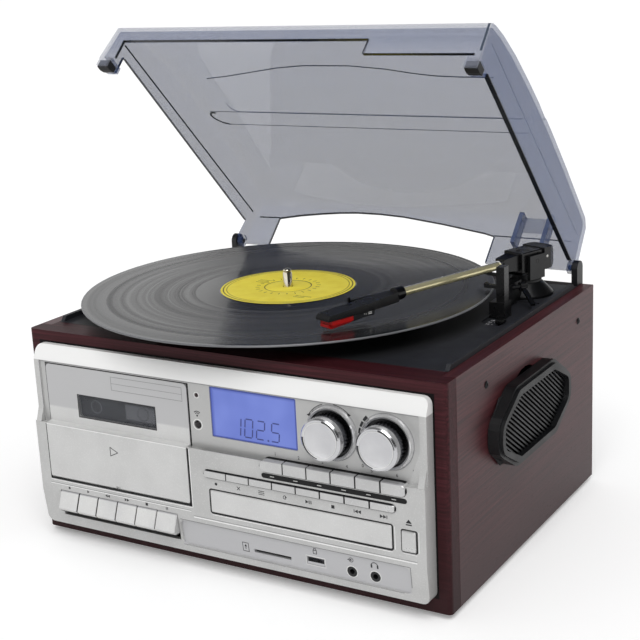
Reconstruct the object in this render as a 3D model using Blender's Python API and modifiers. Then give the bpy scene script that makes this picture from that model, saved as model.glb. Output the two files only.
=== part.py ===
"""All-in-one record player: wooden cabinet, silver front, turntable and open dust cover.

Lengths are in metres. X runs to the right, Y to the back and Z up. While it is built, X starts at
the middle of the cabinet, Y at the wooden front face and Z at the floor; the last step puts the
origin under the middle of the whole object.
"""
import math

import bmesh
import bpy
from mathutils import Matrix, Vector

# Clearances and joining allowances
GAP = 0.0003
PIN_GAP = 0.0002
BUTTON_GAP = 0.00035
WELD_DEPTH = 0.0006
PAST = 0.004
WELD_DISTANCE = 0.000001

# Cabinet
CABINET_WIDTH = 0.330
CABINET_DEPTH = 0.254
CABINET_HEIGHT = 0.1525
FOOT_HEIGHT = 0.004
FOOT_RADIUS = 0.010
FOOT_INSET = 0.026
FRONT_THICKNESS = 0.013
FRONT_EDGE_RADIUS = 0.003
LEDGE_DEPTH = 0.0215
RAIL_DEPTH = 0.0275
RAIL_HEIGHT = 0.0145
SIDE_THICKNESS = 0.009
BACK_THICKNESS = 0.008
BOTTOM_THICKNESS = 0.006
CLEAT_WIDTH = 0.007
CLEAT_HEIGHT = 0.008

BASE_Z = FOOT_HEIGHT
TOP_Z = BASE_Z + CABINET_HEIGHT
HALF_WIDTH = CABINET_WIDTH / 2
INNER_X = HALF_WIDTH - SIDE_THICKNESS
BACK_Y = CABINET_DEPTH - BACK_THICKNESS

# Deck plate
DECK_THICKNESS = 0.004
DECK_CORNER_RADIUS = 0.0015
DECK_TOP = TOP_Z
DECK_BOTTOM = DECK_TOP - DECK_THICKNESS
DECK_HALF_WIDTH = INNER_X - GAP
DECK_LIP_WIDTH = 0.003
DECK_LIP_HEIGHT = 0.0035
DECK_LIP_SHORT = 0.014
CONTROL_RECESS_X = (0.1280, 0.1518)
CONTROL_RECESS_AHEAD = (0.0885, 0.0215)
CONTROL_RECESS_DEPTH = 0.0012
CONTROL_RECESS_RADIUS = 0.010

# Back panel fittings
VENT_COUNT = 7
VENT_LENGTH = 0.070
VENT_WIDTH = 0.0025
VENT_PITCH = 0.0065
VENT_X = 0.045
VENT_Z = 0.060
SOCKET_X = -0.030
SOCKET_PITCH = 0.014
SOCKET_Z = 0.035
SOCKET_RADIUS = 0.0042
SOCKET_BORE = 0.0032
SOCKET_LENGTH = 0.007
SOCKET_BORE_DEPTH = 0.010
GLAND_X = -0.105
GLAND_Z = 0.035
GLAND_RADIUS = 0.0065
GLAND_LENGTH = 0.005
GLAND_BORE = 0.0026
GLAND_BORE_DEPTH = 0.012

# Front panel: reaches are measured from the wood face and heights from the underside of the cabinet;
# the heights follow the cabinet's own
WOOD_ABOVE_PANEL = 0.0085
PANEL_HALF_WIDTH = 0.1555
PANEL_BOTTOM = 0.010
PANEL_TOP = 0.144
PANEL_WALL = 0.0024
PANEL_CORNER_RADIUS = 0.005
PANEL_FOOT_REACH = 0.0105
PANEL_REACH = 0.0135
PANEL_UPPER_REACH = 0.009
PANEL_TOP_REACH = 0.004
PANEL_RIDGE = 0.036
PANEL_STEP = 0.0882
PANEL_STEP_RISE = 0.0008
PANEL_SLOPE_TOP = 0.101
PANEL_BEVEL = 0.134
PANEL_BORDER = 0.005
WINDOW_HALF_WIDTH = 0.150
WINDOW_BOTTOM = 0.013
WINDOW_TOP = 0.137
RECESS_DEPTH = 0.0008
RECESS_TOP = 0.1328
RECESS_KNEE = 0.110
RECESS_LOW_X = 0.141
RECESS_LOW = 0.084
BOSS_RADIUS = 0.0035

# Cassette door
DOOR_X = (-0.145, -0.022)
DOOR_BOTTOM = 0.0468
DOOR_TOP = 0.1312
DOOR_THICKNESS = 0.003
DOOR_PROUD = 0.0006
DOOR_GAP = 0.0005
DOOR_EDGE = 0.0014
DOOR_CORNER_RADIUS = 0.003
DOOR_HINGE_BACK = 0.0026
DOOR_HINGE_UP = 0.0026
DOOR_WINDOW_X = (-0.1176, -0.050)
DOOR_WINDOW_Z = (0.095, 0.111)
DOOR_WINDOW_RADIUS = 0.0018
DOOR_WINDOW_THICKNESS = 0.0016
DOOR_NOTCH_WIDTH = 0.004
DOOR_NOTCH_HEIGHT = 0.0012
CARRIER_HALF_WIDTH = 0.0525
CARRIER_DEPTH = 0.0135
CARRIER_WALL = 0.0015
CARRIER_HEIGHT = 0.052
CARRIER_SHELF = 0.006

# Cassette keys
KEY_COUNT = 6
KEY_BAY_X = (-0.1385, -0.034)
KEY_BAY_BOTTOM = 0.0178
KEY_BAY_TOP = 0.0378
KEY_BOTTOM = 0.0222
KEY_REACH = 0.0185
KEY_TOP_REACH = 0.0138
KEY_DEPTH = 0.010
KEY_ARM_HEIGHT = 0.004
KEY_LIP = 0.003
KEY_GAP = 0.00045
AXLE_RADIUS = 0.0012
AXLE_BACK = 0.0078
AXLE_MOUNT_Y = 0.006
AXLE_MOUNT_LOW = 0.0330
AXLE_MOUNT_WIDTH = 0.0028

# Display, lamp and sensor
DISPLAY_X = (-0.0033, 0.0628)
DISPLAY_Z = (0.0973, 0.1318)
DISPLAY_THICKNESS = 0.0016
DISPLAY_RADIUS = 0.001
LAMP_X = -0.0144
LAMP_Z = 0.1244
LAMP_RADIUS = 0.0015
SENSOR_X = -0.0149
SENSOR_Z = 0.1037
SENSOR_RADIUS = 0.003
LAMP_DEPTH = 0.0012

# Knobs
KNOB_X = (0.0888, 0.1281)
KNOB_Z = 0.1131
KNOB_RADIUS = 0.0143
KNOB_LENGTH = 0.0146
KNOB_CAP_LENGTH = 0.0050
KNOB_RIB_COUNT = 36
KNOB_RIB_DEPTH = 0.0004
KNOB_CAP_EDGE = 0.0010
KNOB_SHAFT_RADIUS = 0.003
KNOB_SHAFT_LENGTH = 0.007
RING_OUTER = 0.0182
RING_CREST = 0.0170
RING_INNER = 0.0156
RING_HEIGHT = 0.0032

# Push buttons
FUNCTION_COUNT = 6
FUNCTION_X = (0.0366, 0.1430)
FUNCTION_Z = (0.0810, 0.0894)
TRANSPORT_COUNT = 8
TRANSPORT_X = (-0.0086, 0.1352)
TRANSPORT_Z = (0.0694, 0.0750)
EJECT_X = (0.1391, 0.1487)
EJECT_Z = (0.0455, 0.0591)
BUTTON_PROUD = 0.0013
BUTTON_DEPTH = 0.008
BUTTON_FLANGE = 0.0008
BUTTON_EDGE = 0.0005
STRIP_X = (0.0372, 0.1432)
STRIP_Z = (0.0766, 0.0802)
STRIP_DEPTH = 0.0004

# CD tray and drive
TRAY_FACE_X = (-0.0046, 0.1318)
TRAY_FACE_Z = (0.0449, 0.0607)
TRAY_FACE_THICKNESS = 0.004
TRAY_FACE_PROUD = 0.0005
TRAY_FACE_RADIUS = 0.001
TRAY_GAP = 0.0004
TRAY_BODY_INSET = 0.0032
TRAY_BODY_Z = (0.0494, 0.0564)
TRAY_LENGTH = 0.168
DISC_RECESS_RADIUS = 0.0610
DISC_RECESS_DEPTH = 0.003
DISC_HUB_RADIUS = 0.020
DISC_CENTRE_Y = 0.053
DRIVE_Y = (0.0145, 0.172)
DRIVE_WALL = 0.0025
DRIVE_HEIGHT = 0.0265
DRIVE_BOTTOM = 0.038

# Main board and its sockets
BOARD_X = (-0.033, 0.147)
BOARD_Y = (0.0005, 0.112)
BOARD_BOTTOM = 0.0142
BOARD_THICKNESS = 0.0016
BOARD_POST_RADIUS = 0.004
BOARD_POST_INSET = 0.010
LOWER_RECESS_X = (-0.032, 0.1435)
LOWER_RECESS_Z = (0.0152, 0.0342)
LOWER_RECESS_DEPTH = 0.0010
LOWER_RECESS_RADIUS = 0.004
CARD_X = (0.0262, 0.0550)
CARD_Z = (0.0203, 0.0227)
CARD_BLOCK_SIDE = 0.0015
USB_X = (0.0675, 0.0805)
USB_Z = (0.0208, 0.0262)
USB_WALL = 0.0004
USB_DEPTH = 0.010
USB_TONGUE_HEIGHT = 0.0018
JACK_X = (0.1008, 0.1177)
JACK_Z = 0.0219
JACK_RADIUS = 0.0036
JACK_BORE = 0.0018
JACK_DEPTH = 0.012
JACK_BLOCK_HALF = 0.006
SOCKET_BLOCK_DEPTH = 0.014
SOCKET_FRONT = 0.0068

# Cassette mechanism
MECH_INSET = 0.006
MECH_Y = (0.0155, 0.046)
MECH_Z = (0.048, 0.130)
REEL_HALF_PITCH = 0.02125
REEL_Z = 0.098
REEL_RADIUS = 0.0038
REEL_TIP = 0.0005
CAPSTAN_X = 0.030
CAPSTAN_Z = 0.067
CAPSTAN_RADIUS = 0.0012
MECH_BOSS_INSET = 0.005

# Speakers and grilles
SPEAKER_Y = 0.1205
SPEAKER_BELOW_TOP = 0.0555
SPEAKER_Z = TOP_Z - SPEAKER_BELOW_TOP
SPEAKER_HOLE = 0.031
DRIVER_FLANGE_RADIUS = 0.037
DRIVER_FLANGE = 0.003
DRIVER_NECK_RADIUS = 0.031
DRIVER_CONE_RADIUS = 0.029
DRIVER_MAGNET_RADIUS = 0.022
DRIVER_CONE_DEPTH = 0.016
DRIVER_NECK_DEPTH = 0.019
DRIVER_DEPTH = 0.031
GRILLE_HALF_WIDTH = 0.0630
GRILLE_HALF_HEIGHT = 0.0278
GRILLE_FLAT_HALF_TOP = 0.0335
GRILLE_FLAT_HALF_SIDE = 0.0095
GRILLE_CORNER_RADIUS = 0.013
GRILLE_HEIGHT = 0.0098
GRILLE_BEVEL = 0.0022
GRILLE_FRAME = 0.0065
SLAT_COUNT = 31
SLAT_WIDTH = 0.0012
SLAT_PITCH = 0.0029
SLAT_TILT = math.radians(35)
SLAT_REACH = (0.0040, 0.0062)
SLAT_LENGTH = 0.130

# Platter, spindle, record and drive
PLATTER_X = -0.0208
PLATTER_FROM_BACK = 0.1329
PLATTER_Y = CABINET_DEPTH - PLATTER_FROM_BACK
PLATTER_RADIUS = 0.096
PLATTER_RISE = 0.0015
PLATTER_HEIGHT = 0.0111
PLATTER_TOP_THICKNESS = 0.003
PLATTER_RIM = 0.002
PLATTER_EDGE = 0.0006
DRIVE_RING_RADIUS = 0.070
DRIVE_RING_LIFT = 0.0015
HUB_RADIUS = 0.010
SPINDLE_RADIUS = 0.0034
SPINDLE_ABOVE_RECORD = 0.0120
SPINDLE_TIP = 0.0022
SPINDLE_COLLAR_RADIUS = 0.0075
SPINDLE_FLANGE = 0.003
SPINDLE_BELOW = 0.010
RECORD_RADIUS = 0.1505
RECORD_THICKNESS = 0.0016
LABEL_RADIUS = 0.050
DEAD_WAX_RADIUS = 0.060
GROOVE_RADIUS = 0.1465
RECORD_WAIST = 0.0003
RECORD_HOLE = SPINDLE_RADIUS + PIN_GAP
MOTOR_ANGLE = math.radians(128)
MOTOR_DISTANCE = 0.082
MOTOR_RADIUS = 0.016
MOTOR_HEIGHT = 0.024
PULLEY_RADIUS = 0.006
PULLEY_LIFT = 0.0015
PULLEY_HEIGHT = 0.008
PULLEY_SHAFT = 0.0010
PULLEY_SHAFT_LENGTH = 0.014
MOTOR_HOLE = 0.004
BELT_THICKNESS = 0.0010
BELT_HEIGHT = 0.003
BELT_LIFT = 0.0022

# Tonearm: s runs from the pivot to the stylus, w to the right of the arm
ARM_X = 0.127
ARM_FROM_BACK = 0.040
ARM_Y = CABINET_DEPTH - ARM_FROM_BACK
ARM_ANGLE = math.radians(-18.76)
ARM_ABOVE_DECK = 0.026
ARM_LENGTH = 0.1925
SKIRT_RADIUS = 0.0205
SKIRT_EDGE = 0.0015
SKIRT_TOP_RADIUS = 0.012
SKIRT_HEIGHT = 0.0118
YOKE_RADIUS = 0.0115
YOKE_DISC = 0.0036
YOKE_SHAFT_RADIUS = 0.003
YOKE_SHAFT_LENGTH = 0.009
CHEEK_INNER = 0.0094
CHEEK_OUTER = 0.0120
CHEEK_HALF_LENGTH = 0.0080
CHEEK_ABOVE = 0.0045
TILT_PIN_RADIUS = 0.0013
BLOCK_HALF_WIDTH = 0.0090
BLOCK_BACK = 0.0105
BLOCK_FRONT = 0.0130
BLOCK_BELOW = 0.0078
BLOCK_ABOVE = 0.0072
WEIGHT_HALF_WIDTH = 0.0105
WEIGHT_FRONT = 0.0095
WEIGHT_BACK = 0.0245
WEIGHT_CORNER = 0.0165
WEIGHT_TAIL_HALF_WIDTH = 0.0038
WEIGHT_CHAMFER = 0.0035
NOSE_END = 0.0270
NOSE_HALF_WIDTH = 0.0060
NOSE_END_RADIUS = 0.0044
TUBE_RADIUS = 0.0030
TUBE_START = 0.0155
TUBE_END = 0.1310
SHELL_COLLAR_RADIUS = 0.0046
SHELL_COLLAR_START = 0.1255
SHELL_START = 0.1325
SHELL_END = 0.1965
SHELL_HALF_WIDTH = 0.0064
SHELL_NECK_HALF_WIDTH = 0.0042
SHELL_TOP = 0.0022
SHELL_NOSE_TOP = -0.0010
SHELL_BOTTOM = -0.0046
SHELL_NOSE_DROP = 0.0022
LIFT_START = 0.1370
LIFT_END = 0.1640
LIFT_OUT = 0.0125
LIFT_WIDTH = 0.0018
LIFT_THICKNESS = 0.0012
LIFT_TIP = 0.0022
CARTRIDGE_START = 0.1560
CARTRIDGE_END = 0.1930
CARTRIDGE_HALF_WIDTH = 0.0058
CARTRIDGE_DEPTH = 0.0030
HOLDER_START = 0.1660
HOLDER_END = 0.1948
HOLDER_HALF_WIDTH = 0.0040
HOLDER_DEPTH = 0.0026
NEEDLE_RADIUS = 0.0004
STYLUS_GAP = 0.0005
CUE_BOX_X = (0.1226, 0.1312)
CUE_BOX_AHEAD = (0.0430, 0.0175)
CUE_BOX_HEIGHT = 0.0150
CUE_RADIUS = 0.036
CUE_BAR_WIDTH = 0.004
CUE_BAR_THICKNESS = 0.0016
CUE_BAR_GAP = 0.0008
CUE_BAR_SPAN = (math.radians(-44), math.radians(7))
CUE_BAR_STEPS = 14
CUE_POST_ANGLE = math.radians(1)
CUE_POST_RADIUS = 0.0020
CUE_POST_LENGTH = 0.017
LEVER_X = 0.1360
LEVER_AHEAD = 0.0270
LEVER_Y = ARM_Y - LEVER_AHEAD
LEVER_RISE = 0.0122
LEVER_TURN = math.radians(45)
LEVER_HUB_RADIUS = 0.0034
LEVER_PIN_RADIUS = 0.0015
LEVER_HUB_WIDTH = 0.004
LEVER_PIN_LENGTH = 0.0100
LEVER_LENGTH = 0.0215
LEVER_WIDTH = 0.0032
LEVER_THICKNESS = 0.0018
LEVER_DROP = math.radians(24)
REST_X = (0.1286, 0.1400)
REST_AHEAD = (0.0690, 0.0570)
REST_BASE_HEIGHT = 0.0115
REST_POST_X = (0.1332, 0.1392)
REST_POST_AHEAD = (0.0668, 0.0592)
REST_POST_HEIGHT = 0.0363
REST_CRADLE_REACH = 0.0100
REST_CRADLE_THICKNESS = 0.0022
REST_CRADLE_WIDTH = 0.0044
REST_CRADLE_DROP = 0.0014
REST_LIP_HEIGHT = 0.0010
SWITCH_X = 0.1410
SWITCH_AHEAD = 0.0780
SWITCH_Y = ARM_Y - SWITCH_AHEAD
SWITCH_SLOT_LENGTH = 0.0125
SWITCH_SLOT_WIDTH = 0.0034
SWITCH_KNOB_LENGTH = 0.0066
SWITCH_KNOB_WIDTH = 0.0060
SWITCH_KNOB_HEIGHT = 0.0026
SWITCH_STEM_LENGTH = 0.0026
SWITCH_STEM_DEPTH = 0.0055

# Dust cover: u runs from the hinge to the front along the rim, v up from the rim
LID_OPEN = math.radians(46)
HINGE_FROM_BACK = 0.0032
HINGE_Y = CABINET_DEPTH - HINGE_FROM_BACK
HINGE_ABOVE_TOP = 0.0125
RIM_ABOVE_HINGE = 0.0005
LID_HALF_WIDTH = 0.1508
LID_TAPER = 0.067
LID_WALL = 0.0020
LID_FRONT_Y = 0.0140
LID_LENGTH = HINGE_Y - LID_FRONT_Y
LID_HEIGHT = 0.0480
LID_TAIL = 0.0060
LID_TAIL_DROP = 0.0050
LID_TOP_SHARES = (
    (0.994, 0.610), (0.982, 0.660), (0.960, 0.710), (0.900, 0.795), (0.800, 0.885), (0.675, 0.945),
    (0.550, 0.985), (0.430, 1.000), (0.250, 0.990), (0.100, 0.960), (0.000, 0.935),
)
LID_NOTCH = 0.0160
LID_STEP = 0.0036
FRONT_NOTCH_X = (-0.1365, 0.0665)
SIDE_NOTCH_START = 0.006
SIDE_NOTCH_SHORT = 0.0188
ARCH_X = (-0.1240, 0.0770)
ARCH_CROWN = 0.0390
ARCH_SHARES = (
    (0.000, 0.718), (0.095, 0.826), (0.194, 0.908), (0.279, 0.964), (0.363, 0.997), (0.468, 1.000),
    (0.577, 0.972), (0.766, 0.854), (0.955, 0.703), (1.000, 0.646),
)
GROOVE_X = -0.118
GROOVE_U = (0.117, 0.133)
GROOVE_DEPTH = 0.0012
BUMPER_LENGTH = 0.0150
BUMPER_WIDTH = 0.0092
BUMPER_SHORT = 0.0060
BUMPER_DROP = 0.0065
FORK_X = (0.0965, 0.1235)
FORK_RIB = 0.0032
FORK_DEPTH = 0.0095
FORK_V = (0.0150, 0.0430)
FORK_WEB = 0.0018
HINGE_PIN_RADIUS = 0.0020
HINGE_PIN_REACH = 0.0030
EAR_LENGTH = 0.0040
BRACKET_THICKNESS = 0.0046
BRACKET_RADIUS = 0.0058
BRACKET_TAIL = 0.0240

# How finely round shapes are divided
FINE = 80
ROUND = 40
MEDIUM = 28
COARSE = 16
CORNER_STEPS = 4


# Scene set-up
for old in list(bpy.data.objects):
    bpy.data.objects.remove(old, do_unlink=True)

scene = bpy.context.scene
parts = bpy.data.collections.new("all_in_one_record_player")
tools = bpy.data.collections.new("cutters")
scene.collection.children.link(parts)
scene.collection.children.link(tools)


def finish(name, colour, roughness, metallic=0.0):
    """A plain Principled material."""
    made = bpy.data.materials.new(name)
    made.use_nodes = True
    shader = made.node_tree.nodes["Principled BSDF"]
    shader.inputs["Base Color"].default_value = (*colour, 1.0)
    shader.inputs["Roughness"].default_value = roughness
    shader.inputs["Metallic"].default_value = metallic
    return made


# Finishes
WOOD = (0.070, 0.022, 0.026)
BLACK = (0.012, 0.012, 0.014)
SILVER = (0.55, 0.55, 0.56)
SMOKE = (0.32, 0.35, 0.40)
STEEL = (0.60, 0.60, 0.62)

# Empties carry no shape: the origin empty moves everything, the others mark joint axes
origin = bpy.data.objects.new("origin", None)
parts.objects.link(origin)


def pivot(name, place, turn=0.0, axis="Z"):
    """An empty on a joint's axis, turned by an angle about X or Z."""
    made = bpy.data.objects.new(name, None)
    parts.objects.link(made)
    made.parent = origin
    made.location = place
    if axis == "X":
        made.rotation_euler = (turn, 0.0, 0.0)
    else:
        made.rotation_euler = (0.0, 0.0, turn)
    return made


def attach(obj, holder, local):
    """Parents a piece to an empty; a piece that isn't local keeps the place it was built in."""
    obj.parent = holder
    if holder is not origin and not local:
        obj.matrix_parent_inverse = Matrix.Translation(holder.location).inverted()


def to_object(name, shape, collection):
    """Turns a bmesh into an object with its faces outward."""
    bmesh.ops.recalc_face_normals(shape, faces=shape.faces)
    mesh = bpy.data.meshes.new(name)
    shape.to_mesh(mesh)
    shape.free()
    made = bpy.data.objects.new(name, mesh)
    collection.objects.link(made)
    return made


def piece(name, shape, colour, roughness, metallic=0.0, holder=origin, local=False, smooth=False):
    """One named piece of the object with a material of its own."""
    made = to_object(name, shape, parts)
    made.data.materials.append(finish(name + "_finish", colour, roughness, metallic))
    attach(made, holder, local)
    made["local"] = local
    if smooth:
        for face in made.data.polygons:
            face.use_smooth = True
    return made


def combine(target, shape, operation):
    """Adds an exact Boolean; the other shape stays as a hidden wire in the cutters collection."""
    label = target.name + "_" + operation.lower() + "_" + str(len(target.modifiers) + 1)
    other = to_object(label, shape, tools)
    other["local"] = target["local"]
    attach(other, target.parent, target["local"])
    other.hide_render = True
    other.display_type = "WIRE"
    step = target.modifiers.new(label, "BOOLEAN")
    step.operation = operation
    step.solver = "EXACT"
    step.object = other
    return other


def cut(target, shape):
    return combine(target, shape, "DIFFERENCE")


def weld(target, shape):
    return combine(target, shape, "UNION")


# Basic shapes
def block(x, y, z):
    """A box between three pairs of limits."""
    shape = bmesh.new()
    bmesh.ops.create_cube(shape, size=1.0)
    size = (x[1] - x[0], y[1] - y[0], z[1] - z[0])
    middle = Vector(((x[0] + x[1]) / 2, (y[0] + y[1]) / 2, (z[0] + z[1]) / 2))
    bmesh.ops.scale(shape, vec=size, verts=shape.verts)
    bmesh.ops.translate(shape, vec=middle, verts=shape.verts)
    return shape


def place_point(axis, a, b, c):
    """Puts a flat point (a, b) at the height c along an axis."""
    if axis == "X":
        return (c, a, b)
    if axis == "Y":
        return (a, c, b)
    return (a, b, c)


def prism(outline, axis, limits):
    """A flat outline pulled along an axis between two limits."""
    shape = bmesh.new()
    ring = [shape.verts.new(place_point(axis, a, b, limits[0])) for a, b in outline]
    base = shape.faces.new(ring)
    pulled = bmesh.ops.extrude_face_region(shape, geom=[base])
    moved = [item for item in pulled["geom"] if isinstance(item, bmesh.types.BMVert)]
    way = Vector(place_point(axis, 0.0, 0.0, limits[1] - limits[0]))
    bmesh.ops.translate(shape, vec=way, verts=moved)
    return shape


def corner(a, b, radius, start):
    """Points of a quarter-round corner that starts at an angle."""
    if radius <= 0:
        return [(a, b)]
    points = []
    for step in range(CORNER_STEPS + 1):
        angle = start + math.pi / 2 * step / CORNER_STEPS
        points.append((a + radius * math.cos(angle), b + radius * math.sin(angle)))
    return points


def rounded(x, z, radius, low_right=None, high_right=None, high_left=None, low_left=None):
    """A rectangle with round corners; a corner can have a radius of its own."""
    sizes = [radius if own is None else own for own in (low_right, high_right, high_left, low_left)]
    r = sizes[0]
    points = corner(x[1] - r, z[0] + r, r, -math.pi / 2)
    r = sizes[1]
    points += corner(x[1] - r, z[1] - r, r, 0.0)
    r = sizes[2]
    points += corner(x[0] + r, z[1] - r, r, math.pi / 2)
    r = sizes[3]
    points += corner(x[0] + r, z[0] + r, r, math.pi)
    return points


def turned(profile, centre, axis, steps):
    """A closed (radius, height) outline spun about an axis through a centre."""
    shape = bmesh.new()
    ring = [shape.verts.new((radius, 0.0, height)) for radius, height in profile]
    edges = [shape.edges.new((ring[i - 1], ring[i])) for i in range(len(ring))]
    bmesh.ops.spin(
        shape, geom=ring + edges, cent=(0.0, 0.0, 0.0), axis=(0.0, 0.0, 1.0),
        angle=2 * math.pi, steps=steps, use_duplicate=False,
    )
    bmesh.ops.remove_doubles(shape, verts=shape.verts, dist=WELD_DISTANCE)
    bmesh.ops.dissolve_degenerate(shape, edges=shape.edges, dist=WELD_DISTANCE)
    loose = [edge for edge in shape.edges if not edge.link_faces]
    bmesh.ops.delete(shape, geom=loose, context="EDGES")
    loose = [vert for vert in shape.verts if not vert.link_faces]
    bmesh.ops.delete(shape, geom=loose, context="VERTS")
    if axis == "X":
        bmesh.ops.rotate(shape, cent=(0.0, 0.0, 0.0), matrix=Matrix.Rotation(math.pi / 2, 3, "Y"), verts=shape.verts)
    if axis == "Y":
        bmesh.ops.rotate(shape, cent=(0.0, 0.0, 0.0), matrix=Matrix.Rotation(-math.pi / 2, 3, "X"), verts=shape.verts)
    bmesh.ops.translate(shape, vec=Vector(centre), verts=shape.verts)
    return shape


def circle(centre, radius, steps):
    """Points of a circle about a flat centre."""
    angles = [2 * math.pi * step / steps for step in range(steps)]
    return [(centre[0] + radius * math.cos(angle), centre[1] + radius * math.sin(angle)) for angle in angles]


def rod(centre, axis, radius, limits, steps):
    """A round bar along an axis; the centre gives the other two places."""
    return prism(circle(centre, radius, steps), axis, limits)


def shift(shape, way):
    bmesh.ops.translate(shape, vec=Vector(way), verts=shape.verts)
    return shape


def turn(shape, angle, axis, about=(0.0, 0.0, 0.0)):
    bmesh.ops.rotate(shape, cent=Vector(about), matrix=Matrix.Rotation(angle, 3, axis), verts=shape.verts)
    return shape


def soften(obj, width, angle=math.radians(40)):
    """A small bevel on the sharp edges, before any Boolean."""
    step = obj.modifiers.new("soft_edges", "BEVEL")
    step.width = width
    step.segments = 1
    step.limit_method = "ANGLE"
    step.angle_limit = angle


def up(height):
    """A height above the underside of the cabinet, which follows the cabinet's own height."""
    return BASE_Z + height * (CABINET_HEIGHT - WOOD_ABOVE_PANEL) / PANEL_TOP


def span_up(limits):
    return (up(limits[0]), up(limits[1]))


# Wooden cabinet
def build_cabinet():
    outline = rounded(
        (-HALF_WIDTH, HALF_WIDTH), (0.0, FRONT_THICKNESS), FRONT_EDGE_RADIUS,
        high_right=0.0, high_left=0.0,
    )
    front = piece("front_frame", prism(outline, "Z", (BASE_Z, TOP_Z)), WOOD, 0.4)
    ledge = LEDGE_DEPTH - GAP
    weld(front, block((-INNER_X + GAP, INNER_X - GAP), (FRONT_THICKNESS - WELD_DEPTH, ledge),
                      (TOP_Z - RAIL_HEIGHT, TOP_Z)))
    weld(front, block((-INNER_X + GAP, INNER_X - GAP), (ledge - WELD_DEPTH, RAIL_DEPTH),
                      (TOP_Z - RAIL_HEIGHT, DECK_BOTTOM - GAP)))
    cut(front, block((-WINDOW_HALF_WIDTH, WINDOW_HALF_WIDTH), (-PAST, FRONT_THICKNESS + PAST),
                     (up(WINDOW_BOTTOM), up(WINDOW_TOP))))

    for side, name in ((-1, "left"), (1, "right")):
        build_side_panel(side, name)
    build_back_panel()
    build_bottom_panel()


def across(side, near, far):
    """Limits along X on the left (-1) or right (1) side."""
    return tuple(sorted((side * near, side * far)))


def build_side_panel(side, name):
    y = (FRONT_THICKNESS + GAP, CABINET_DEPTH)
    panel = piece(name + "_side_panel", block(across(side, INNER_X, HALF_WIDTH), y, (BASE_Z, TOP_Z)), WOOD, 0.4)
    seat = DECK_BOTTOM - GAP
    weld(panel, block(across(side, INNER_X - CLEAT_WIDTH, INNER_X + WELD_DEPTH),
                      (RAIL_DEPTH + GAP, BACK_Y - GAP), (seat - CLEAT_HEIGHT, seat)))
    hole = across(side, INNER_X - PAST, HALF_WIDTH + PAST)
    cut(panel, rod((SPEAKER_Y, SPEAKER_Z), "X", SPEAKER_HOLE, hole, MEDIUM))


def build_back_panel():
    panel = piece("back_panel", block((-INNER_X + GAP, INNER_X - GAP), (BACK_Y, CABINET_DEPTH), (BASE_Z, TOP_Z)),
                  WOOD, 0.5)
    half = VENT_LENGTH / 2
    for number in range(VENT_COUNT):
        low = up(VENT_Z) + number * VENT_PITCH
        cut(panel, block((VENT_X - half, VENT_X + half), (BACK_Y - PAST, CABINET_DEPTH + PAST), (low, low + VENT_WIDTH)))
    for number in range(2):
        x = SOCKET_X + number * SOCKET_PITCH
        outside = CABINET_DEPTH + SOCKET_LENGTH
        weld(panel, rod((x, up(SOCKET_Z)), "Y", SOCKET_RADIUS, (CABINET_DEPTH - WELD_DEPTH, outside), COARSE))
        cut(panel, rod((x, up(SOCKET_Z)), "Y", SOCKET_BORE, (outside - SOCKET_BORE_DEPTH, outside + PAST), COARSE))
    outside = CABINET_DEPTH + GLAND_LENGTH
    weld(panel, rod((GLAND_X, up(GLAND_Z)), "Y", GLAND_RADIUS, (CABINET_DEPTH - WELD_DEPTH, outside), COARSE))
    cut(panel, rod((GLAND_X, up(GLAND_Z)), "Y", GLAND_BORE, (outside - GLAND_BORE_DEPTH, outside + PAST), COARSE))


def build_bottom_panel():
    top = up(BOTTOM_THICKNESS)
    panel = piece("bottom_panel", block((-INNER_X + GAP, INNER_X - GAP), (FRONT_THICKNESS + GAP, BACK_Y - GAP),
                                        (BASE_Z, top)), WOOD, 0.5)
    for x in (-HALF_WIDTH + FOOT_INSET, HALF_WIDTH - FOOT_INSET):
        for y in (FOOT_INSET, CABINET_DEPTH - FOOT_INSET):
            weld(panel, rod((x, y), "Z", FOOT_RADIUS, (0.0, BASE_Z + WELD_DEPTH), COARSE))
    for x in (BOARD_X[0] + BOARD_POST_INSET, BOARD_X[1] - BOARD_POST_INSET):
        for y in (FRONT_THICKNESS + BOARD_POST_INSET, BOARD_Y[1] - BOARD_POST_INSET):
            weld(panel, rod((x, y), "Z", BOARD_POST_RADIUS, (top - WELD_DEPTH, up(BOARD_BOTTOM) - GAP), COARSE))
    for x in drive_post_places():
        for y in (BOARD_Y[1] + BOARD_POST_INSET, DRIVE_Y[1] - BOARD_POST_INSET):
            weld(panel, rod((x, y), "Z", BOARD_POST_RADIUS, (top - WELD_DEPTH, up(DRIVE_BOTTOM) - GAP), COARSE))


def drive_limits():
    """Outer limits of the disc drive's case along X."""
    reach = DRIVE_WALL + TRAY_GAP - TRAY_BODY_INSET
    return (TRAY_FACE_X[0] - reach, TRAY_FACE_X[1] + reach)


def drive_post_places():
    limits = drive_limits()
    return (limits[0] + BOARD_POST_INSET, limits[1] - BOARD_POST_INSET)


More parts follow.
